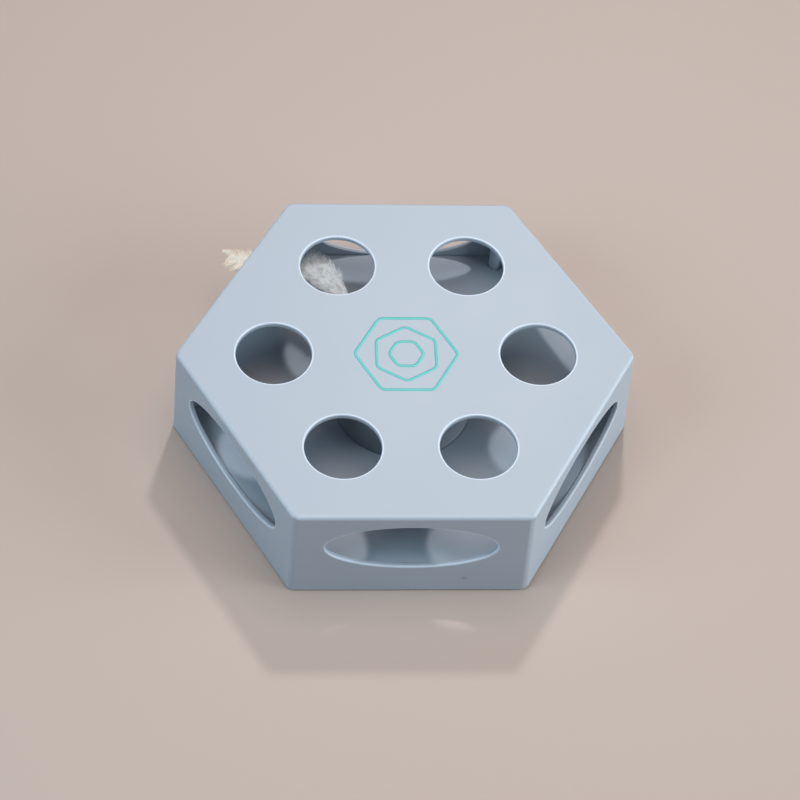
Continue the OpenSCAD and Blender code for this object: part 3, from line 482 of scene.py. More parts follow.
def plume_tree():
    """Geometry Nodes: quills along lines, and barbs that leave them on both sides."""
    tree, given = new_group(
        "barbed_plumes",
        "GeometryNodeTree",
        {
            "Lines": "Geometry",
            "Spacing": 0.0008,
            "Lean": 0.9,
            "Barb Width": 0.0002,
            "Barb Thickness": 0.0001,
            "Quill Width": 0.0006,
            "Frizz": 0.001,
            "Frizz Scale": 150.0,
            "Roll": 0.3,
            "Camber": -0.1,
            "Shortest": 0.78,
            "Longest": 1.06,
            "Steps": 7,
            "Seed": 1,
            "Material": "Material",
        },
        {"Plumes": "Geometry"},
    )
    quills = first(tree, "GeometryNodeMeshToCurve", {"Mesh": given["Lines"]})
    spots = place(
        tree, "GeometryNodeCurveToPoints", {"Curve": quills, "Length": given["Spacing"]}, mode="LENGTH"
    ).outputs
    half = place(tree, "GeometryNodeInputNamedAttribute", {"Name": "half_width"}, data_type="FLOAT")
    half = half.outputs["Attribute"]
    sideways = aim(tree, "CROSS_PRODUCT", spots["Tangent"], (0.0, 0.0, 1.0))
    axes = {"Primary Axis": spots["Tangent"], "Secondary Axis": sideways}
    turn = first(tree, "FunctionNodeAxesToRotation", axes, primary_axis="Y", secondary_axis="X")
    end = first(tree, "ShaderNodeCombineXYZ", {"X": 1.0, "Y": given["Lean"], "Z": given["Camber"]})
    bend = {"Resolution": given["Steps"], "Start": (0, 0, 0), "Middle": BARB_BEND, "End": end}
    barb = first(tree, "GeometryNodeCurveQuadraticBezier", bend)
    wide_enough = first(tree, "FunctionNodeCompare", {"A": half, "B": LEAST_BARB}, operation="GREATER_THAN")
    joined = place(tree, "GeometryNodeJoinGeometry")
    # The seeds keep the two sides apart, and the barbs' rolls from their lengths
    for side, seed in ((1.0, 0.0), (-1.0, 40.0)):
        own = calc(tree, "ADD", given["Seed"], seed)
        size = calc(tree, "MULTIPLY", half, drawn(tree, given["Shortest"], given["Longest"], own))
        back = calc(tree, "MULTIPLY", given["Roll"], -1.0)
        roll = drawn(tree, back, given["Roll"], calc(tree, "ADD", own, 7.0))
        tilt = first(tree, "FunctionNodeAxisAngleToRotation", {"Axis": (0, 1, 0), "Angle": roll})
        turns = {"Rotation": turn, "Rotate By": tilt}
        rolled = first(tree, "FunctionNodeRotateRotation", turns, rotation_space="LOCAL")
        wide = calc(tree, "MULTIPLY", size, side)
        where = {
            "Points": spots["Points"],
            "Selection": wide_enough,
            "Instance": barb,
            "Rotation": rolled,
            "Scale": first(tree, "ShaderNodeCombineXYZ", {"X": wide, "Y": size, "Z": size}),
        }
        tree.links.new(first(tree, "GeometryNodeInstanceOnPoints", where), joined.inputs[0])
    barbs = first(tree, "GeometryNodeRealizeInstances", {0: joined.outputs[0]})
    along = place(tree, "GeometryNodeSplineParameter").outputs["Factor"]
    barbs = named(tree, barbs, "along", along)
    point = first(tree, "GeometryNodeInputPosition")
    waves = {"Vector": point, "Scale": given["Frizz Scale"], "Detail": 3.0}
    wave = place(tree, "ShaderNodeTexNoise", waves).outputs["Color"]
    wave = aim(tree, "SUBTRACT", wave, (0.5, 0.5, 0.5))
    push = calc(tree, "MULTIPLY", given["Frizz"], along)
    shift = first(tree, "ShaderNodeVectorMath", {0: wave, "Scale": push}, operation="SCALE")
    barbs = first(tree, "GeometryNodeSetPosition", {"Geometry": barbs, "Offset": shift})
    barbs = first(tree, "GeometryNodeSetCurveNormal", {"Curve": barbs}, mode="Z_UP")
    section = rectangle(tree, given["Barb Width"], given["Barb Thickness"])
    taper = calc(tree, "SUBTRACT", 1.0, calc(tree, "MULTIPLY", along, BARB_TAPER))
    hairs = swept(tree, barbs, section, taper)
    ring = circle(tree, QUILL_SIDES, given["Quill Width"])
    thin = calc(tree, "SUBTRACT", 1.0, calc(tree, "MULTIPLY", along, QUILL_TAPER))
    stems = swept(tree, named(tree, quills, "along", 0.0), ring, thin)
    whole = place(tree, "GeometryNodeJoinGeometry")
    tree.links.new(hairs, whole.inputs[0])
    tree.links.new(stems, whole.inputs[0])
    smooth = first(tree, "GeometryNodeSetShadeSmooth", {"Geometry": whole.outputs[0]})
    end_tree(tree, smooth, given["Material"])
    return tree


def line_tree():
    """Geometry Nodes: a thin flat line along each edge loop, with rounded corners."""
    tree, given = new_group(
        "printed_lines",
        "GeometryNodeTree",
        {
            "Lines": "Geometry",
            "Line Width": 0.0014,
            "Ink Height": 0.00008,
            "Corner Radius": 0.004,
            "Material": "Material",
        },
        {"Print": "Geometry"},
    )
    lines = first(tree, "GeometryNodeMeshToCurve", {"Mesh": given["Lines"]})
    steps = 8
    corners = {"Curve": lines, "Radius": given["Corner Radius"], "Limit Radius": True, "Count": steps}
    eased = first(tree, "GeometryNodeFilletCurve", corners, mode="POLY")
    flat = first(tree, "GeometryNodeSetCurveNormal", {"Curve": eased}, mode="Z_UP")
    ink = swept(tree, flat, rectangle(tree, given["Line Width"], given["Ink Height"]), 1.0)
    end_tree(tree, ink, given["Material"])
    return tree


def rib_tree():
    """Geometry Nodes: a row of rounded ribs, one on each point, half sunk in what carries them."""
    tree, given = new_group(
        "grip_ribs",
        "GeometryNodeTree",
        {"Points": "Geometry", "Rib Length": 0.016, "Rib Radius": 0.0005, "Material": "Material"},
        {"Ribs": "Geometry"},
    )
    steps, sides, end_share, squareness = 14, 10, 0.02, 8.0
    start, end = (
        first(tree, "ShaderNodeCombineXYZ", {"X": calc(tree, "MULTIPLY", given["Rib Length"], half)})
        for half in (-0.5, 0.5)
    )
    line = first(tree, "GeometryNodeCurvePrimitiveLine", {"Start": start, "End": end})
    line = first(tree, "GeometryNodeResampleCurve", {"Curve": line, "Count": steps})
    ring = circle(tree, sides, given["Rib Radius"])
    along = place(tree, "GeometryNodeSplineParameter").outputs["Factor"]
    from_middle = calc(tree, "ABSOLUTE", calc(tree, "MULTIPLY_ADD", along, 2.0, -1.0))
    drop = calc(tree, "POWER", from_middle, squareness)
    rib = swept(tree, line, ring, calc(tree, "SQRT", calc(tree, "SUBTRACT", 1 + end_share, drop)))
    copies = first(tree, "GeometryNodeInstanceOnPoints", {"Points": given["Points"], "Instance": rib})
    smooth = first(tree, "GeometryNodeSetShadeSmooth", {"Geometry": copies})
    end_tree(tree, smooth, given["Material"])
    return tree


PLUMES = plume_tree()
LINES = line_tree()
RIBS = rib_tree()


# Settings


def property_maker(kind, **unit):
    """A way to state properties of one kind."""

    def make(name, description, default):
        """A property, which its class makes when it is registered."""
        return kind(name=name, description=description, default=default, **unit)

    return make


LengthProperty = property_maker(FloatProperty, unit="LENGTH")
AngleProperty = property_maker(FloatProperty, subtype="ANGLE")
PowerProperty = property_maker(FloatProperty, unit="POWER")
CountProperty = property_maker(IntProperty)
ColourProperty = property_maker(FloatVectorProperty, subtype="COLOR", size=3)


class CoverSettings(bpy.types.PropertyGroup):
    """Sizes and colours of the housing."""

    plastic: ColourProperty("Plastic", "Colour of the housing", (0.375, 0.435, 0.505))
    roof_width: LengthProperty("Roof width", "Distance across the roof's sharp corners", 0.230)
    draft: LengthProperty("Draft", "How much wider the cover is at the floor", 0.004)
    height: LengthProperty("Height", "Height of the roof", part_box("top_cover")[1].z)
    hole_ring: LengthProperty("Hole ring", "Distance of the holes' centres from the axis", 0.066)
    hole_width: LengthProperty("Hole width", "Diameter of the roof's holes", 0.038)
    window_length: LengthProperty("Window length", "Length of a wall's oval window", 0.084)
    window_height: LengthProperty("Window height", "Height of a wall's oval window", 0.032)
    window_level: LengthProperty("Window level", "Height of the windows' centres", 0.036)
    window_lip: LengthProperty("Window lip", "Rounding of the windows' outer rims", 0.0006)


class PrintSettings(bpy.types.PropertyGroup):
    """Sizes and colour of the roof's printed lines."""

    ink: ColourProperty("Ink", "Colour of the printed lines", (0.12, 0.55, 0.52))
    line_width: LengthProperty("Line width", "Width of a printed line", 0.0015)
    reach: LengthProperty("Reach", "Radius of the outermost line's corners", 0.026)


class FeatherSettings(bpy.types.PropertyGroup):
    """Sizes and colours of the feathers."""

    arm_angle: AngleProperty("Arm angle", "Direction of the arm at rest", math.radians(123))
    level: LengthProperty("Level", "Height of the wand above the floor", 0.0479)
    root: LengthProperty("Root", "Radius where the quills start", 0.0463)
    long_reach: LengthProperty("Long feather reach", "Radius of the long feather's tip", 0.127)
    long_sweep: AngleProperty("Long feather sweep", "How far it sweeps round", math.radians(16))
    long_droop: LengthProperty("Long feather droop", "How far its tip hangs", 0.014)
    long_lift: LengthProperty("Long feather lift", "Height of its quill over the wand", 0.0008)
    long_width: LengthProperty("Long feather width", "Width of its vane", 0.0165)
    fluff_reach: LengthProperty("Fluff reach", "Radius that the fluffy plumes reach", 0.0985)
    fluff_first: LengthProperty("First side", "Where the first plume ends beside the arm", -0.0062)
    fluff_last: LengthProperty("Last side", "Where the last plume ends beside the arm", 0.0105)
    first_fall: LengthProperty("First fall", "How far the first plume's end hangs", 0.0020)
    last_fall: LengthProperty("Last fall", "How far the last plume's end hangs", -0.0025)
    depth: LengthProperty("Depth", "How much further the lowest plumes hang", 0.013)
    plumes: CountProperty("Plumes", "Number of fluffy plumes", 44)
    seed: CountProperty("Seed", "Seed of the plumes' spread", 11)
    down: ColourProperty("Down", "Colour of the fluffy plumes", (0.91, 0.97, 1.0))
    quill: ColourProperty("Quill", "Colour of the quills", (0.84, 0.82, 0.78))
    vane: ColourProperty("Vane", "Colour of the long feather", (0.84, 0.75, 0.62))


class StageSettings(bpy.types.PropertyGroup):
    """Floor and light."""

    floor: ColourProperty("Floor", "Colour of the floor", (0.47, 0.39, 0.345))
    key: PowerProperty("Key", "Power of the small light from behind", 6.85)
    overhead: PowerProperty("Overhead", "Power of the broad light overhead", 8.4)
    right: PowerProperty("Right", "Power of the light from the right", 22.6)
    left: PowerProperty("Left", "Power of the light from the left", 12.4)
    sky: FloatProperty(name="Sky", description="Strength of the light from all round", default=0.05)


# Operators


class CATTOY_OT_stage(bpy.types.Operator):
    """Floor, light and camera"""

    bl_idname = "cattoy.stage"
    bl_label = "Stage"

    EYE = Vector((-0.092370, -0.826603, 1.114430))
    GAZE = Vector((0.0664591, 0.6019949, -0.7957294))
    ROLL = math.radians(5.171)
    LENS = 121.4
    SENSOR = 36.0
    CLIP = (0.05, 50.0)
    FLOOR_REACH = 4.0
    EVEN = (1.0, 1.0, 1.02)
    WARM = (1.18, 1.0, 0.91)
    COOL = (0.90, 1.0, 1.05)
    COLD = (0.77, 1.0, 1.15)
    # Direction and height in degrees, distance and diameter in metres, tint
    LAMPS = {
        "key": (78.7, 53.7, 1.5, 0.12, EVEN),
        "overhead": (90.0, 88.0, 1.4, 1.1, WARM),
        "right": (-14.0, 18.0, 1.6, 1.2, COOL),
        "left": (205.0, 38.0, 1.6, 1.2, COLD),
    }

    def execute(self, context):
        settings = context.scene.cattoy_stage
        mesh = bpy.data.meshes.new("floor")
        s = self.FLOOR_REACH
        mesh.from_pydata([(-s, -s, 0), (s, -s, 0), (s, s, 0), (-s, s, 0)], [], [(0, 1, 2, 3)])
        matt = {"rough": 0.6, "bump": 0.03, "cloud": 2.0, "fine": 300.0, "spread": 0.02}
        paint = moulded("floor_paint", settings.floor, **matt)
        finished("floor", mesh, paint)
        for name, (turn, rise, distance, width, tint) in self.LAMPS.items():
            rise = math.radians(rise)
            at = polar(distance * math.cos(rise), turn, distance * math.sin(rise))
            self.lamp(name, at, width, getattr(settings, name), tint)
        world = bpy.data.worlds.new("room")
        context.scene.world = world
        world.use_nodes = True
        glow = {"Color": rgba(self.EVEN), "Strength": settings.sky}
        fill(world.node_tree, world.node_tree.nodes["Background"], glow)
        context.scene.view_settings.view_transform = "Standard"
        self.camera(context)
        return {"FINISHED"}

    def lamp(self, name, at, width, watts, tint):
        """A round light that faces the origin."""
        data = bpy.data.lights.new(name, "AREA")
        data.shape = "DISK"
        data.size = width
        data.energy = watts
        data.color = tint
        lamp = bpy.data.objects.new(name, data)
        lamp.location = at
        lamp.rotation_euler = (-at).to_track_quat("-Z", "Y").to_euler()
        bpy.context.scene.collection.objects.link(lamp)

    def camera(self, context):
        """The camera, rolled about its gaze."""
        flat = self.GAZE.cross(UP).normalized()
        upright = flat.cross(self.GAZE)
        right = math.cos(self.ROLL) * flat + math.sin(self.ROLL) * upright
        top = math.cos(self.ROLL) * upright - math.sin(self.ROLL) * flat
        data = bpy.data.cameras.new("camera")
        data.lens = self.LENS
        data.sensor_width = self.SENSOR
        data.clip_start, data.clip_end = self.CLIP
        camera = bpy.data.objects.new("camera", data)
        turn = Matrix((right, top, -self.GAZE)).transposed().to_4x4()
        camera.matrix_world = Matrix.Translation(self.EYE) @ turn
        context.scene.collection.objects.link(camera)
        context.scene.camera = camera


class CATTOY_OT_cover(bpy.types.Operator):
    """Cover with rounded window rims, and a painted highlight along its lips, rims and roof edge"""

    bl_idname = "cattoy.cover"
    bl_label = "Cover"

    # Angles in degrees: faces that are one flat, edges that stay sharp, and rims that are rounded
    FLAT, SHARP, RIM = 0.4, 34, 50
    LIP_STEPS = 3
    # How near two points are the same, and how closely a rim's points fit the oval, as a share, and the wall
    SAME_POINT = 1e-6
    OVAL_SLACK = 0.02
    WALL_SLACK = 0.0006
    # Widths of the painted highlight's bands, the share of a width that is highlighted in full, how strongly
    # the roof's edge is highlighted, and how far in the lips and the rims are
    LIP_BAND = 0.0011
    EDGE_BAND = 0.0024
    RIM_BAND = 0.0009
    CORE = 0.4
    EDGE_SHARE = 0.45
    LIP_DEPTH = (0.0005, 0.0012)
    RIM_DEPTH = (0.0008, 0.0014)

    def execute(self, context):
        settings = context.scene.cattoy_cover
        mesh = NODES["top_cover"].data.copy()
        work = bmesh.new()
        work.from_mesh(mesh)
        bmesh.ops.remove_doubles(work, verts=work.verts, dist=self.SAME_POINT)
        flat = math.radians(self.FLAT)
        bmesh.ops.dissolve_limit(work, angle_limit=flat, verts=work.verts, edges=work.edges, delimit=set())
        rims = [e for e in work.edges if self.on_rim(e, settings)]
        if not rims:
            raise RuntimeError("the cover has no window rims")
        bmesh.ops.bevel(
            work,
            geom=rims,
            offset=settings.window_lip,
            offset_type="OFFSET",
            segments=self.LIP_STEPS,
            profile=0.5,
            affect="EDGES",
            clamp_overlap=False,
        )
        for face in work.faces:
            face.smooth = True
        for edge in work.edges:
            edge.smooth = len(edge.link_faces) == 2 and edge.calc_face_angle(0) < math.radians(self.SHARP)
        work.to_mesh(mesh)
        work.free()
        # The cover's lips, rims and roof edge get a painted highlight
        plastic = moulded("cover_plastic", settings.plastic, rough=0.46, bump=0.08, painted_highlight_mask=self.painted_highlight_mask)
        shell = finished("cover_shell", mesh, plastic)
        weighted = shell.modifiers.new("normals", "WEIGHTED_NORMAL")
        weighted.keep_sharp = True
        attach(shell, "base")
        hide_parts("top_cover")
        return {"FINISHED"}

    def on_rim(self, edge, settings):
        """Whether an edge lies on a window's outer rim."""
        if len(edge.link_faces) != 2 or edge.calc_face_angle(0) < math.radians(self.RIM):
            return False
        walls = [HALF_SIDE + SIDE_TURN * k for k in range(SIDES)]
        facing = [max(walls, key=lambda wall: v.co.dot(polar(1, wall))) for v in edge.verts]
        if facing[0] != facing[1]:
            return False
        normal, side = polar(1, facing[0]), across(facing[0])
        for v in edge.verts:
            long = v.co.dot(side) / (settings.window_length / 2)
            high = (v.co.z - settings.window_level) / (settings.window_height / 2)
            if abs(math.hypot(long, high) - 1) > self.OVAL_SLACK:
                return False
        middle = (edge.verts[0].co + edge.verts[1].co) / 2
        return abs(middle.dot(normal) - wall_at(settings, middle.z)) < self.WALL_SLACK

    def painted_highlight_mask(self, tree, point):
        """Mask of the holes' lips, the windows' rims and the roof's edge, where a painted highlight goes."""
        settings = bpy.context.scene.cattoy_cover
        do = partial(calc, tree)
        turn = math.radians(SIDE_TURN)
        x, y, z = place(tree, "ShaderNodeSeparateXYZ", {0: point}).outputs

        def size(a, b):
            """Length of a flat vector."""
            return do("SQRT", do("ADD", do("MULTIPLY", a, a), do("MULTIPLY", b, b)))

        def band(distance, width):
            """Full near a line, and gone at a width from it."""
            return fading(tree, distance, width * self.CORE, width)

        angle, radius = do("ARCTAN2", y, x), size(x, y)

        def folded(offset):
            """The point turned into one sector of the six, as its distance out and its distance across."""
            local = do("SUBTRACT", angle, offset)
            nearest = do("MULTIPLY", do("ROUND", do("DIVIDE", local, turn)), turn)
            rest = do("SUBTRACT", local, nearest)
            return do("MULTIPLY", radius, do("COSINE", rest)), do("MULTIPLY", radius, do("SINE", rest))

        below = do("SUBTRACT", settings.height, z)
        out, aside = folded(0.0)
        from_hole = size(do("SUBTRACT", out, settings.hole_ring), aside)
        from_hole = do("SUBTRACT", from_hole, settings.hole_width / 2)
        lip = do("MULTIPLY", band(from_hole, self.LIP_BAND), fading(tree, below, *self.LIP_DEPTH))
        out, aside = folded(turn / 2)
        wall = do("MULTIPLY_ADD", below, wall_slope(settings), wall_at(settings, settings.height))
        inside = do("MAXIMUM", do("SUBTRACT", wall, out), 0.0)
        edge = do("MULTIPLY", band(do("ADD", inside, below), self.EDGE_BAND), self.EDGE_SHARE)
        a, b = settings.window_length / 2, settings.window_height / 2
        high = do("SUBTRACT", z, settings.window_level)
        oval = size(do("DIVIDE", aside, a), do("DIVIDE", high, b))
        steep = size(do("DIVIDE", aside, a * a), do("DIVIDE", high, b * b))
        from_window = do("DIVIDE", do("MULTIPLY", do("SUBTRACT", oval, 1.0), oval), steep)
        rim = do("MULTIPLY", band(from_window, self.RIM_BAND), fading(tree, inside, *self.RIM_DEPTH))
        return do("MAXIMUM", do("MAXIMUM", lip, rim), edge)


class CATTOY_OT_print(bpy.types.Operator):
    """Thin printed lines in the middle of the roof"""

    bl_idname = "cattoy.print"
    bl_label = "Roof print"

    # Each line's share of the reach, and how far it is turned
    HEXAGONS = ((1.0, 0.0), (0.66, HALF_SIDE), (0.34, 0.0))
    # How far the ink's middle stands over the roof
    LIFT = 0.03 * MM

    def execute(self, context):
        settings = context.scene.cattoy_print
        loops = [
            [polar(settings.reach * share, turn + SIDE_TURN * k) for k in range(SIDES)]
            for share, turn in self.HEXAGONS
        ]
        mesh = loops_mesh("roof_print", loops, context.scene.cattoy_cover.height + self.LIFT)
        ink = moulded("print_ink", settings.ink, rough=0.45, bump=0.1, cloud=60.0, fine=2500.0, spread=0.12)
        lines = run_nodes("roof_print", mesh, LINES, {"Line Width": settings.line_width}, ink)
        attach(lines, "base")
        return {"FINISHED"}


class CATTOY_OT_tray(bpy.types.Operator):
    """Tray, deck, door, tower and feet"""

    bl_idname = "cattoy.tray"
    bl_label = "Tray and tower"

    def execute(self, context):
        plastic = context.scene.cattoy_cover.plastic
        tray = moulded("tray_plastic", shade(plastic, TRAY_SHADE), rough=0.52, bump=0.1)
        # Tower plastic darkened as painted shade
        tower = moulded("tower_plastic", shade(plastic, TOWER_PAINTED_SHADE), rough=0.55, bump=0.1)
        rubber = moulded("foot_rubber", RUBBER, rough=0.85, bump=0.3, cloud=90.0, fine=1200.0, spread=0.2)
        dress(tray, "base_tray", "deck", "battery_door")
        dress(tower, "motor_tower", "tower_cap")
        dress(rubber, "rubber_feet", "switch_slider")
        return {"FINISHED"}


class CATTOY_OT_moulding(bpy.types.Operator):
    """Grip ribs on the door, signs beside the switch, and a gate mark on the front wall"""

    bl_idname = "cattoy.moulding"
    bl_label = "Moulded marks"

    RIBS_N = 7
    RIB_PITCH = 0.0026
    # Where the ribs' middle lies along the door, as a share of its length
    RIBS_AT = 0.3
    SIGN_SIZE = 0.0032
    SIGN_GAP = 0.0040
    SIGN_STEPS = 28
    SIGN_LINE = {"Line Width": 0.6 * MM, "Ink Height": 0.7 * MM, "Corner Radius": 0.0}
    GATE_AT = (0.0274, 0.0108)
    GATE_STEPS = 24
    # Radius and height of the gate mark's rings, in millimetres
    GATE_RINGS = ((1.15, -0.3), (1.15, 0.02), (0.95, 0.16), (0.75, 0.16), (0.55, -0.12), (0.2, -0.16))

    def execute(self, context):
        plastic = moulded("mark_plastic", shade(context.scene.cattoy_cover.plastic, TRAY_SHADE), bump=0.08)
        self.ribs(plastic)
        self.signs(plastic)
        self.gate(context.scene.cattoy_cover)
        return {"FINISHED"}

    def ride(self, piece, slot):
        """Fixes a mark to the housing."""
        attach(piece, "base")

    def ribs(self, plastic):
        """Ribs across the door's outside, towards its screw."""
        low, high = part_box("battery_door")
        middle = mix(low.y, high.y, self.RIBS_AT)
        mesh = bpy.data.meshes.new("door_grip")
        rows = [(i - (self.RIBS_N - 1) / 2) * self.RIB_PITCH for i in range(self.RIBS_N)]
        mesh.from_pydata([((low.x + high.x) / 2, middle + y, low.z) for y in rows], [], [])
        length = (high.x - low.x) / 2
        self.ride(run_nodes("door_grip", mesh, RIBS, {"Rib Length": length}, plastic), "tray_plastic")

    def signs(self, plastic):
        """A ring at the end where the switch is off and a bar where it is on."""
        low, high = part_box("switch_slider")
        y, z = (low.y + high.y) / 2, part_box("base_tray")[0].z
        travel = frame["record"]["behaviour"]["joints"][-1]["range_m"][1]
        ring_x, bar_x = low.x - self.SIGN_GAP, high.x + travel + self.SIGN_GAP
        half = self.SIGN_SIZE / 2
        n = self.SIGN_STEPS
        ring = [Vector((ring_x, y, 0)) + polar(half, 360 * k / n) for k in range(n)]
        bar = [Vector((bar_x, y - half, 0)), Vector((bar_x, y + half, 0))]
        mesh = loops_mesh("switch_signs", [ring, bar], z)
        self.ride(run_nodes("switch_signs", mesh, LINES, self.SIGN_LINE, plastic), "tray_plastic")

    def gate(self, settings):
        """The round scar where the cover's plastic was let into its mould."""
        x, z = self.GATE_AT
        foot = Vector((x, -wall_at(settings, z), z))
        rise = math.atan(wall_slope(settings))
        outward = Vector((0, -math.cos(rise), math.sin(rise)))
        upward = Vector((0, math.sin(rise), math.cos(rise)))
        sideways = upward.cross(outward)
        work = bmesh.new()
        rings = []
        n = self.GATE_STEPS
        ways = [polar(1, 360 * k / n) for k in range(n)]
        for r, h in self.GATE_RINGS:
            centre = foot + outward * h * MM
            rings.append([work.verts.new(centre + (sideways * w.x + upward * w.y) * r * MM) for w in ways])
        for inner, outer in zip(rings[1:], rings):
            for k in range(n):
                work.faces.new((outer[k], outer[(k + 1) % n], inner[(k + 1) % n], inner[k]))
        work.faces.new(rings[-1])
        work.faces.new(rings[0][::-1])
        bmesh.ops.recalc_face_normals(work, faces=work.faces)
        for face in work.faces:
            face.smooth = len(face.verts) == 4
        mesh = bpy.data.meshes.new("gate_mark")
        work.to_mesh(mesh)
        work.free()
        dull = shade(settings.plastic, GATE_SHADE)
        scar = moulded("gate_plastic", dull, rough=0.6, bump=0.2, cloud=300.0, fine=2500.0, spread=0.15)
        self.ride(finished("gate_mark", mesh, scar), "cover_plastic")


class CATTOY_OT_drive(bpy.types.Operator):
    """Motor, gears and shafts"""

    bl_idname = "cattoy.drive"
    bl_label = "Drive"

    def execute(self, context):
        nylon = moulded("gear_nylon", NYLON, rough=0.42, bump=0.06, cloud=120.0, fine=1800.0, spread=0.04)
        black = moulded("dark_plastic", BLACK, cloud=60.0, spread=0.15)
        brass = metal("turned_brass", BRASS, rough=0.3, stretch=(200.0, 200.0, 3000.0))
        dress(nylon, "output_gear", "idler_gear", "motor_pinion")
        dress(metal("plated_steel", STEEL), "motor_can", "motor_shaft", "rotor_shaft", "idler_axle")
        dress(black, "gear_plate", "motor_endcap", "timer_chip", "switch_body")
        dress(brass, "rotor_bush", "wand_ferrule")
        return {"FINISHED"}


class CATTOY_OT_power(bpy.types.Operator):
    """Cells, contacts, board and leads"""

    bl_idname = "cattoy.power"
    bl_label = "Power"

    def execute(self, context):
        dress(cell_jacket("cell_jacket"), "battery_cells", "board_capacitor")
        dress(metal("spring_steel", SPRING_STEEL, rough=0.28), "contact_plates", "contact_springs")
        dress(board_lacquer("board_lacquer"), "control_board")
        sleeve = moulded("lead_insulation", LEAD_RED, rough=0.4, bump=0.05, cloud=300.0, spread=0.1)
        dress(sleeve, "motor_leads")
        return {"FINISHED"}


class CATTOY_OT_fasteners(bpy.types.Operator):
    """Screws"""

    bl_idname = "cattoy.fasteners"
    bl_label = "Screws"

    def execute(self, context):
        dress(
            metal("screw_plating", ZINC, rough=0.3, stretch=(1500.0, 1500.0, 1500.0)),
            "cover_screws",
            "tower_base_screws",
            "tower_screws",
            "motor_screws",
            "door_screw",
            "board_screws",
            "rotor_screw",
        )
        return {"FINISHED"}


class CATTOY_OT_arm(bpy.types.Operator):
    """Arm and wand"""

    bl_idname = "cattoy.arm"
    bl_label = "Arm and wand"

    def execute(self, context):
        dress(moulded("arm_plastic", ARM_GREY, rough=0.45, bump=0.08), "rotor_arm")
        dress(metal("spring_wire", WIRE, rough=0.25, stretch=(300.0, 300.0, 300.0)), "feather_wand")
        return {"FINISHED"}


class CATTOY_OT_fluff(bpy.types.Operator):
    """Bunch of fluffy plumes on the ferrule"""

    bl_idname = "cattoy.fluff"
    bl_label = "Fluffy plumes"

    POINTS = 18
    BARE = 0.08
    # The plumes' roots, deep in the bunch, are darkened as painted shade; the mottle is random blotches
    ROOT_SHADE, MOTTLE_SHADE = 0.88, 0.66
    # How far the roots lie inside the ferrule and are scattered, and the ends are scattered, in millimetres
    ROOT_IN, ROOT_SCATTER, END_SCATTER = 1.5, 1, 1.5
    SHORTEST = 0.84
    # The higher, the fewer plumes hang low
    LOW_FEW = 2.5
    # Where a plume's line bends: its share of the way, how much it bows aside, and how far up, in millimetres
    EASING = (0.28, 0.15, 1.5)
    BELLY = (0.62, 0.2, 2.0)
    # Half the least and the greatest width of a plume, in millimetres, and how far out it is widest
    HALF_WIDTHS = (3.8, 5.6)
    WIDEST = 1.15

    def execute(self, context):
        settings = context.scene.cattoy_feathers
        rng = random.Random(settings.seed)
        lines = [self.plume(settings, rng, (k + 0.5) / settings.plumes) for k in range(settings.plumes)]
        down = settings.down
        # The roots' colour is the down darkened as painted shade
        root, mottle = (shade(down, share) for share in (self.ROOT_SHADE, self.MOTTLE_SHADE))
        fluff = run_nodes(
            "fluffy_plumes",
            polylines("fluffy_plumes", lines),
            PLUMES,
            {
                "Spacing": 1.1 * MM,
                "Lean": 1.25,
                "Barb Width": 0.24 * MM,
                "Barb Thickness": 0.11 * MM,
                "Quill Width": 0.25 * MM,
                "Frizz": 6.0 * MM,
                "Frizz Scale": 170.0,
                "Roll": 0.5,
                "Camber": -0.15,
                "Shortest": 0.7,
                "Longest": 1.1,
                "Steps": 6,
                "Seed": settings.seed,
            },
            plumage("down", root, down, mottle, blotches=300.0),
        )
        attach(fluff, "rotor")
        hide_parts("fluff_feathers")
        return {"FINISHED"}

    def plume(self, settings, rng, share):
        """One plume's line: out of the ferrule, then spread and hanging.

        share goes from 0 for the plume at one side of the arm to 1 for the one at the other.
        """
        angle = math.degrees(settings.arm_angle)
        radial, side = polar(1, angle), across(angle)
        scatter, spread = self.ROOT_SCATTER, self.END_SCATTER
        start = radial * (settings.root + self.ROOT_IN * MM) + side * rng.uniform(-scatter, scatter) * MM
        start += UP * (settings.level + rng.uniform(-scatter, scatter) * MM)
        reach = settings.fluff_reach * rng.uniform(self.SHORTEST, 1.0)
        aside = mix(settings.fluff_first, settings.fluff_last, share) + rng.uniform(-spread, spread) * MM
        fall = mix(settings.first_fall, settings.last_fall, share)
        fall += settings.depth * rng.random() ** self.LOW_FEW
        end = radial * reach + side * aside + UP * (settings.level - fall)
        easing, belly = (
            mix(start, end, way) + side * aside * bow + UP * rng.uniform(0.0, lift) * MM
            for way, bow, lift in (self.EASING, self.BELLY)
        )
        width = rng.uniform(*self.HALF_WIDTHS) * MM
        line = []
        for t in shares(self.POINTS):
            a, b, c, d = (1 - t) ** 3, 3 * t * (1 - t) ** 2, 3 * t * t * (1 - t), t**3
            point = a * start + b * easing + c * belly + d * end
            line.append((point, width * outline(t, self.BARE, self.WIDEST)))
        return line


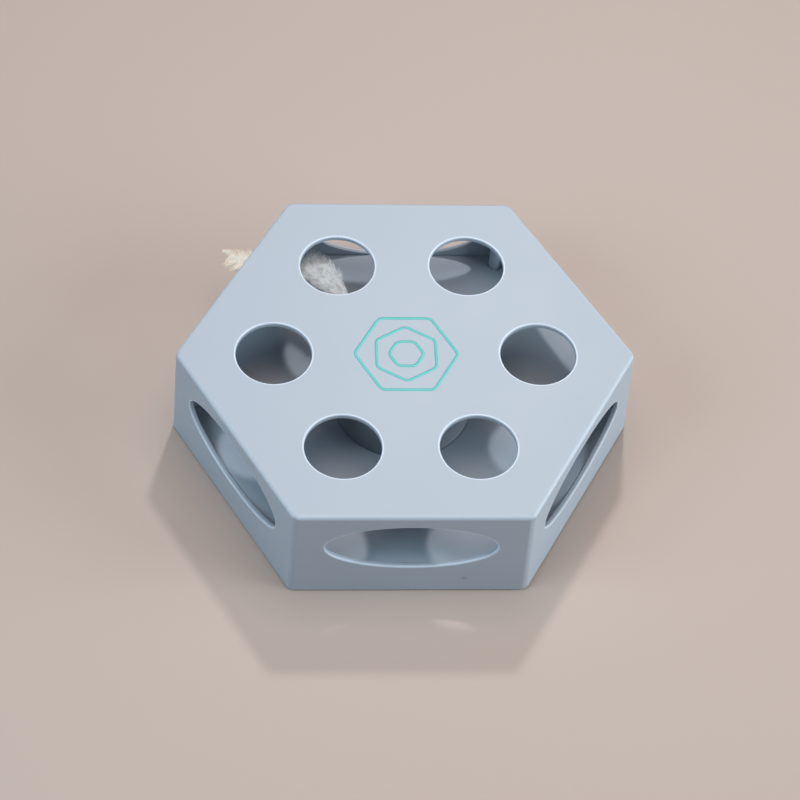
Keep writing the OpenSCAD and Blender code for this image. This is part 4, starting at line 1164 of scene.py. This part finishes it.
class CATTOY_OT_long_feather(bpy.types.Operator):
    """Long feather that reaches out of a window"""

    bl_idname = "cattoy.long_feather"
    bl_label = "Long feather"

    POINTS = 60
    BARE = 0.07
    FULLNESS = 3.6
    MOTTLE_SHADE = 0.9
    # Where the quill ends and where the split in the vane starts, as shares of the reach
    QUILL_END = 0.915
    SPLIT_AT = 0.76
    SPLIT_POINTS = 20
    SPLIT_OUT = 0.0065
    SPLIT_WIDTH = 0.005

    def execute(self, context):
        settings = context.scene.cattoy_feathers
        lines = [self.quill(settings), self.split(settings)]
        vane = settings.vane
        feather = run_nodes(
            "long_vane",
            polylines("long_vane", lines),
            PLUMES,
            {
                "Spacing": 0.32 * MM,
                "Lean": 0.8,
                "Barb Width": 0.8 * MM,
                "Barb Thickness": 0.16 * MM,
                "Quill Width": 0.45 * MM,
                "Frizz": 1.3 * MM,
                "Frizz Scale": 260.0,
                "Roll": 0.08,
                "Camber": -0.12,
                "Shortest": 0.72,
                "Longest": 1.06,
                "Steps": 8,
                "Seed": settings.seed,
            },
            plumage("vane", settings.quill, vane, shade(vane, self.MOTTLE_SHADE), rough=0.6),
        )
        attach(feather, "rotor")
        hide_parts("long_feather")
        return {"FINISHED"}

    def along(self, settings, t):
        """A point of the quill's line, from the ferrule to the reach."""
        return polar(
            mix(settings.root, settings.long_reach, t),
            math.degrees(settings.arm_angle + settings.long_sweep * t),
            settings.level + settings.long_lift - settings.long_droop * t * t,
        )

    def quill(self, settings):
        """The quill's line, with half the vane's width along it."""
        line = []
        for t in shares(self.POINTS):
            half = settings.long_width / 2 * outline(t, self.BARE, self.FULLNESS)
            line.append((self.along(settings, t * self.QUILL_END), half))
        return line

    def split(self, settings):
        """A lock of barbs that has come away from the rest at the tip."""
        angle = math.degrees(settings.arm_angle + settings.long_sweep)
        aside = across(angle) * -self.SPLIT_OUT
        line = []
        for s in shares(self.SPLIT_POINTS):
            half = self.SPLIT_WIDTH / 2 * outline(s, bare=0.0, fullness=1.0)
            line.append((self.along(settings, mix(self.SPLIT_AT, 1.0, s)) + aside * s, half))
        return line


STEPS = (
    CATTOY_OT_stage,
    CATTOY_OT_cover,
    CATTOY_OT_print,
    CATTOY_OT_tray,
    CATTOY_OT_moulding,
    CATTOY_OT_drive,
    CATTOY_OT_power,
    CATTOY_OT_fasteners,
    CATTOY_OT_arm,
    CATTOY_OT_fluff,
    CATTOY_OT_long_feather,
)


class CATTOY_PT_panel(bpy.types.Panel):
    """Steps and settings of the cat toy"""

    bl_idname = "CATTOY_PT_panel"
    bl_label = "Cat toy"
    bl_space_type = "VIEW_3D"
    bl_region_type = "UI"
    bl_category = "Cat toy"

    def draw(self, context):
        for step in STEPS:
            self.layout.operator(step.bl_idname)
        for name in GROUPS:
            box = self.layout.box()
            group = getattr(context.scene, name)
            for key in group.__annotations__:
                box.prop(group, key)


GROUPS = {
    "cattoy_cover": CoverSettings,
    "cattoy_print": PrintSettings,
    "cattoy_feathers": FeatherSettings,
    "cattoy_stage": StageSettings,
}
CLASSES = (*GROUPS.values(), *STEPS, CATTOY_PT_panel)


def register():
    for one in CLASSES:
        bpy.utils.register_class(one)
    for name, group in GROUPS.items():
        setattr(bpy.types.Scene, name, PointerProperty(type=group))


def unregister():
    for name in GROUPS:
        delattr(bpy.types.Scene, name)
    for one in reversed(CLASSES):
        bpy.utils.unregister_class(one)


def main():
    register()
    for step in STEPS:
        family, name = step.bl_idname.split(".")
        getattr(getattr(bpy.ops, family), name)()


if __name__ == "__main__":
    main()
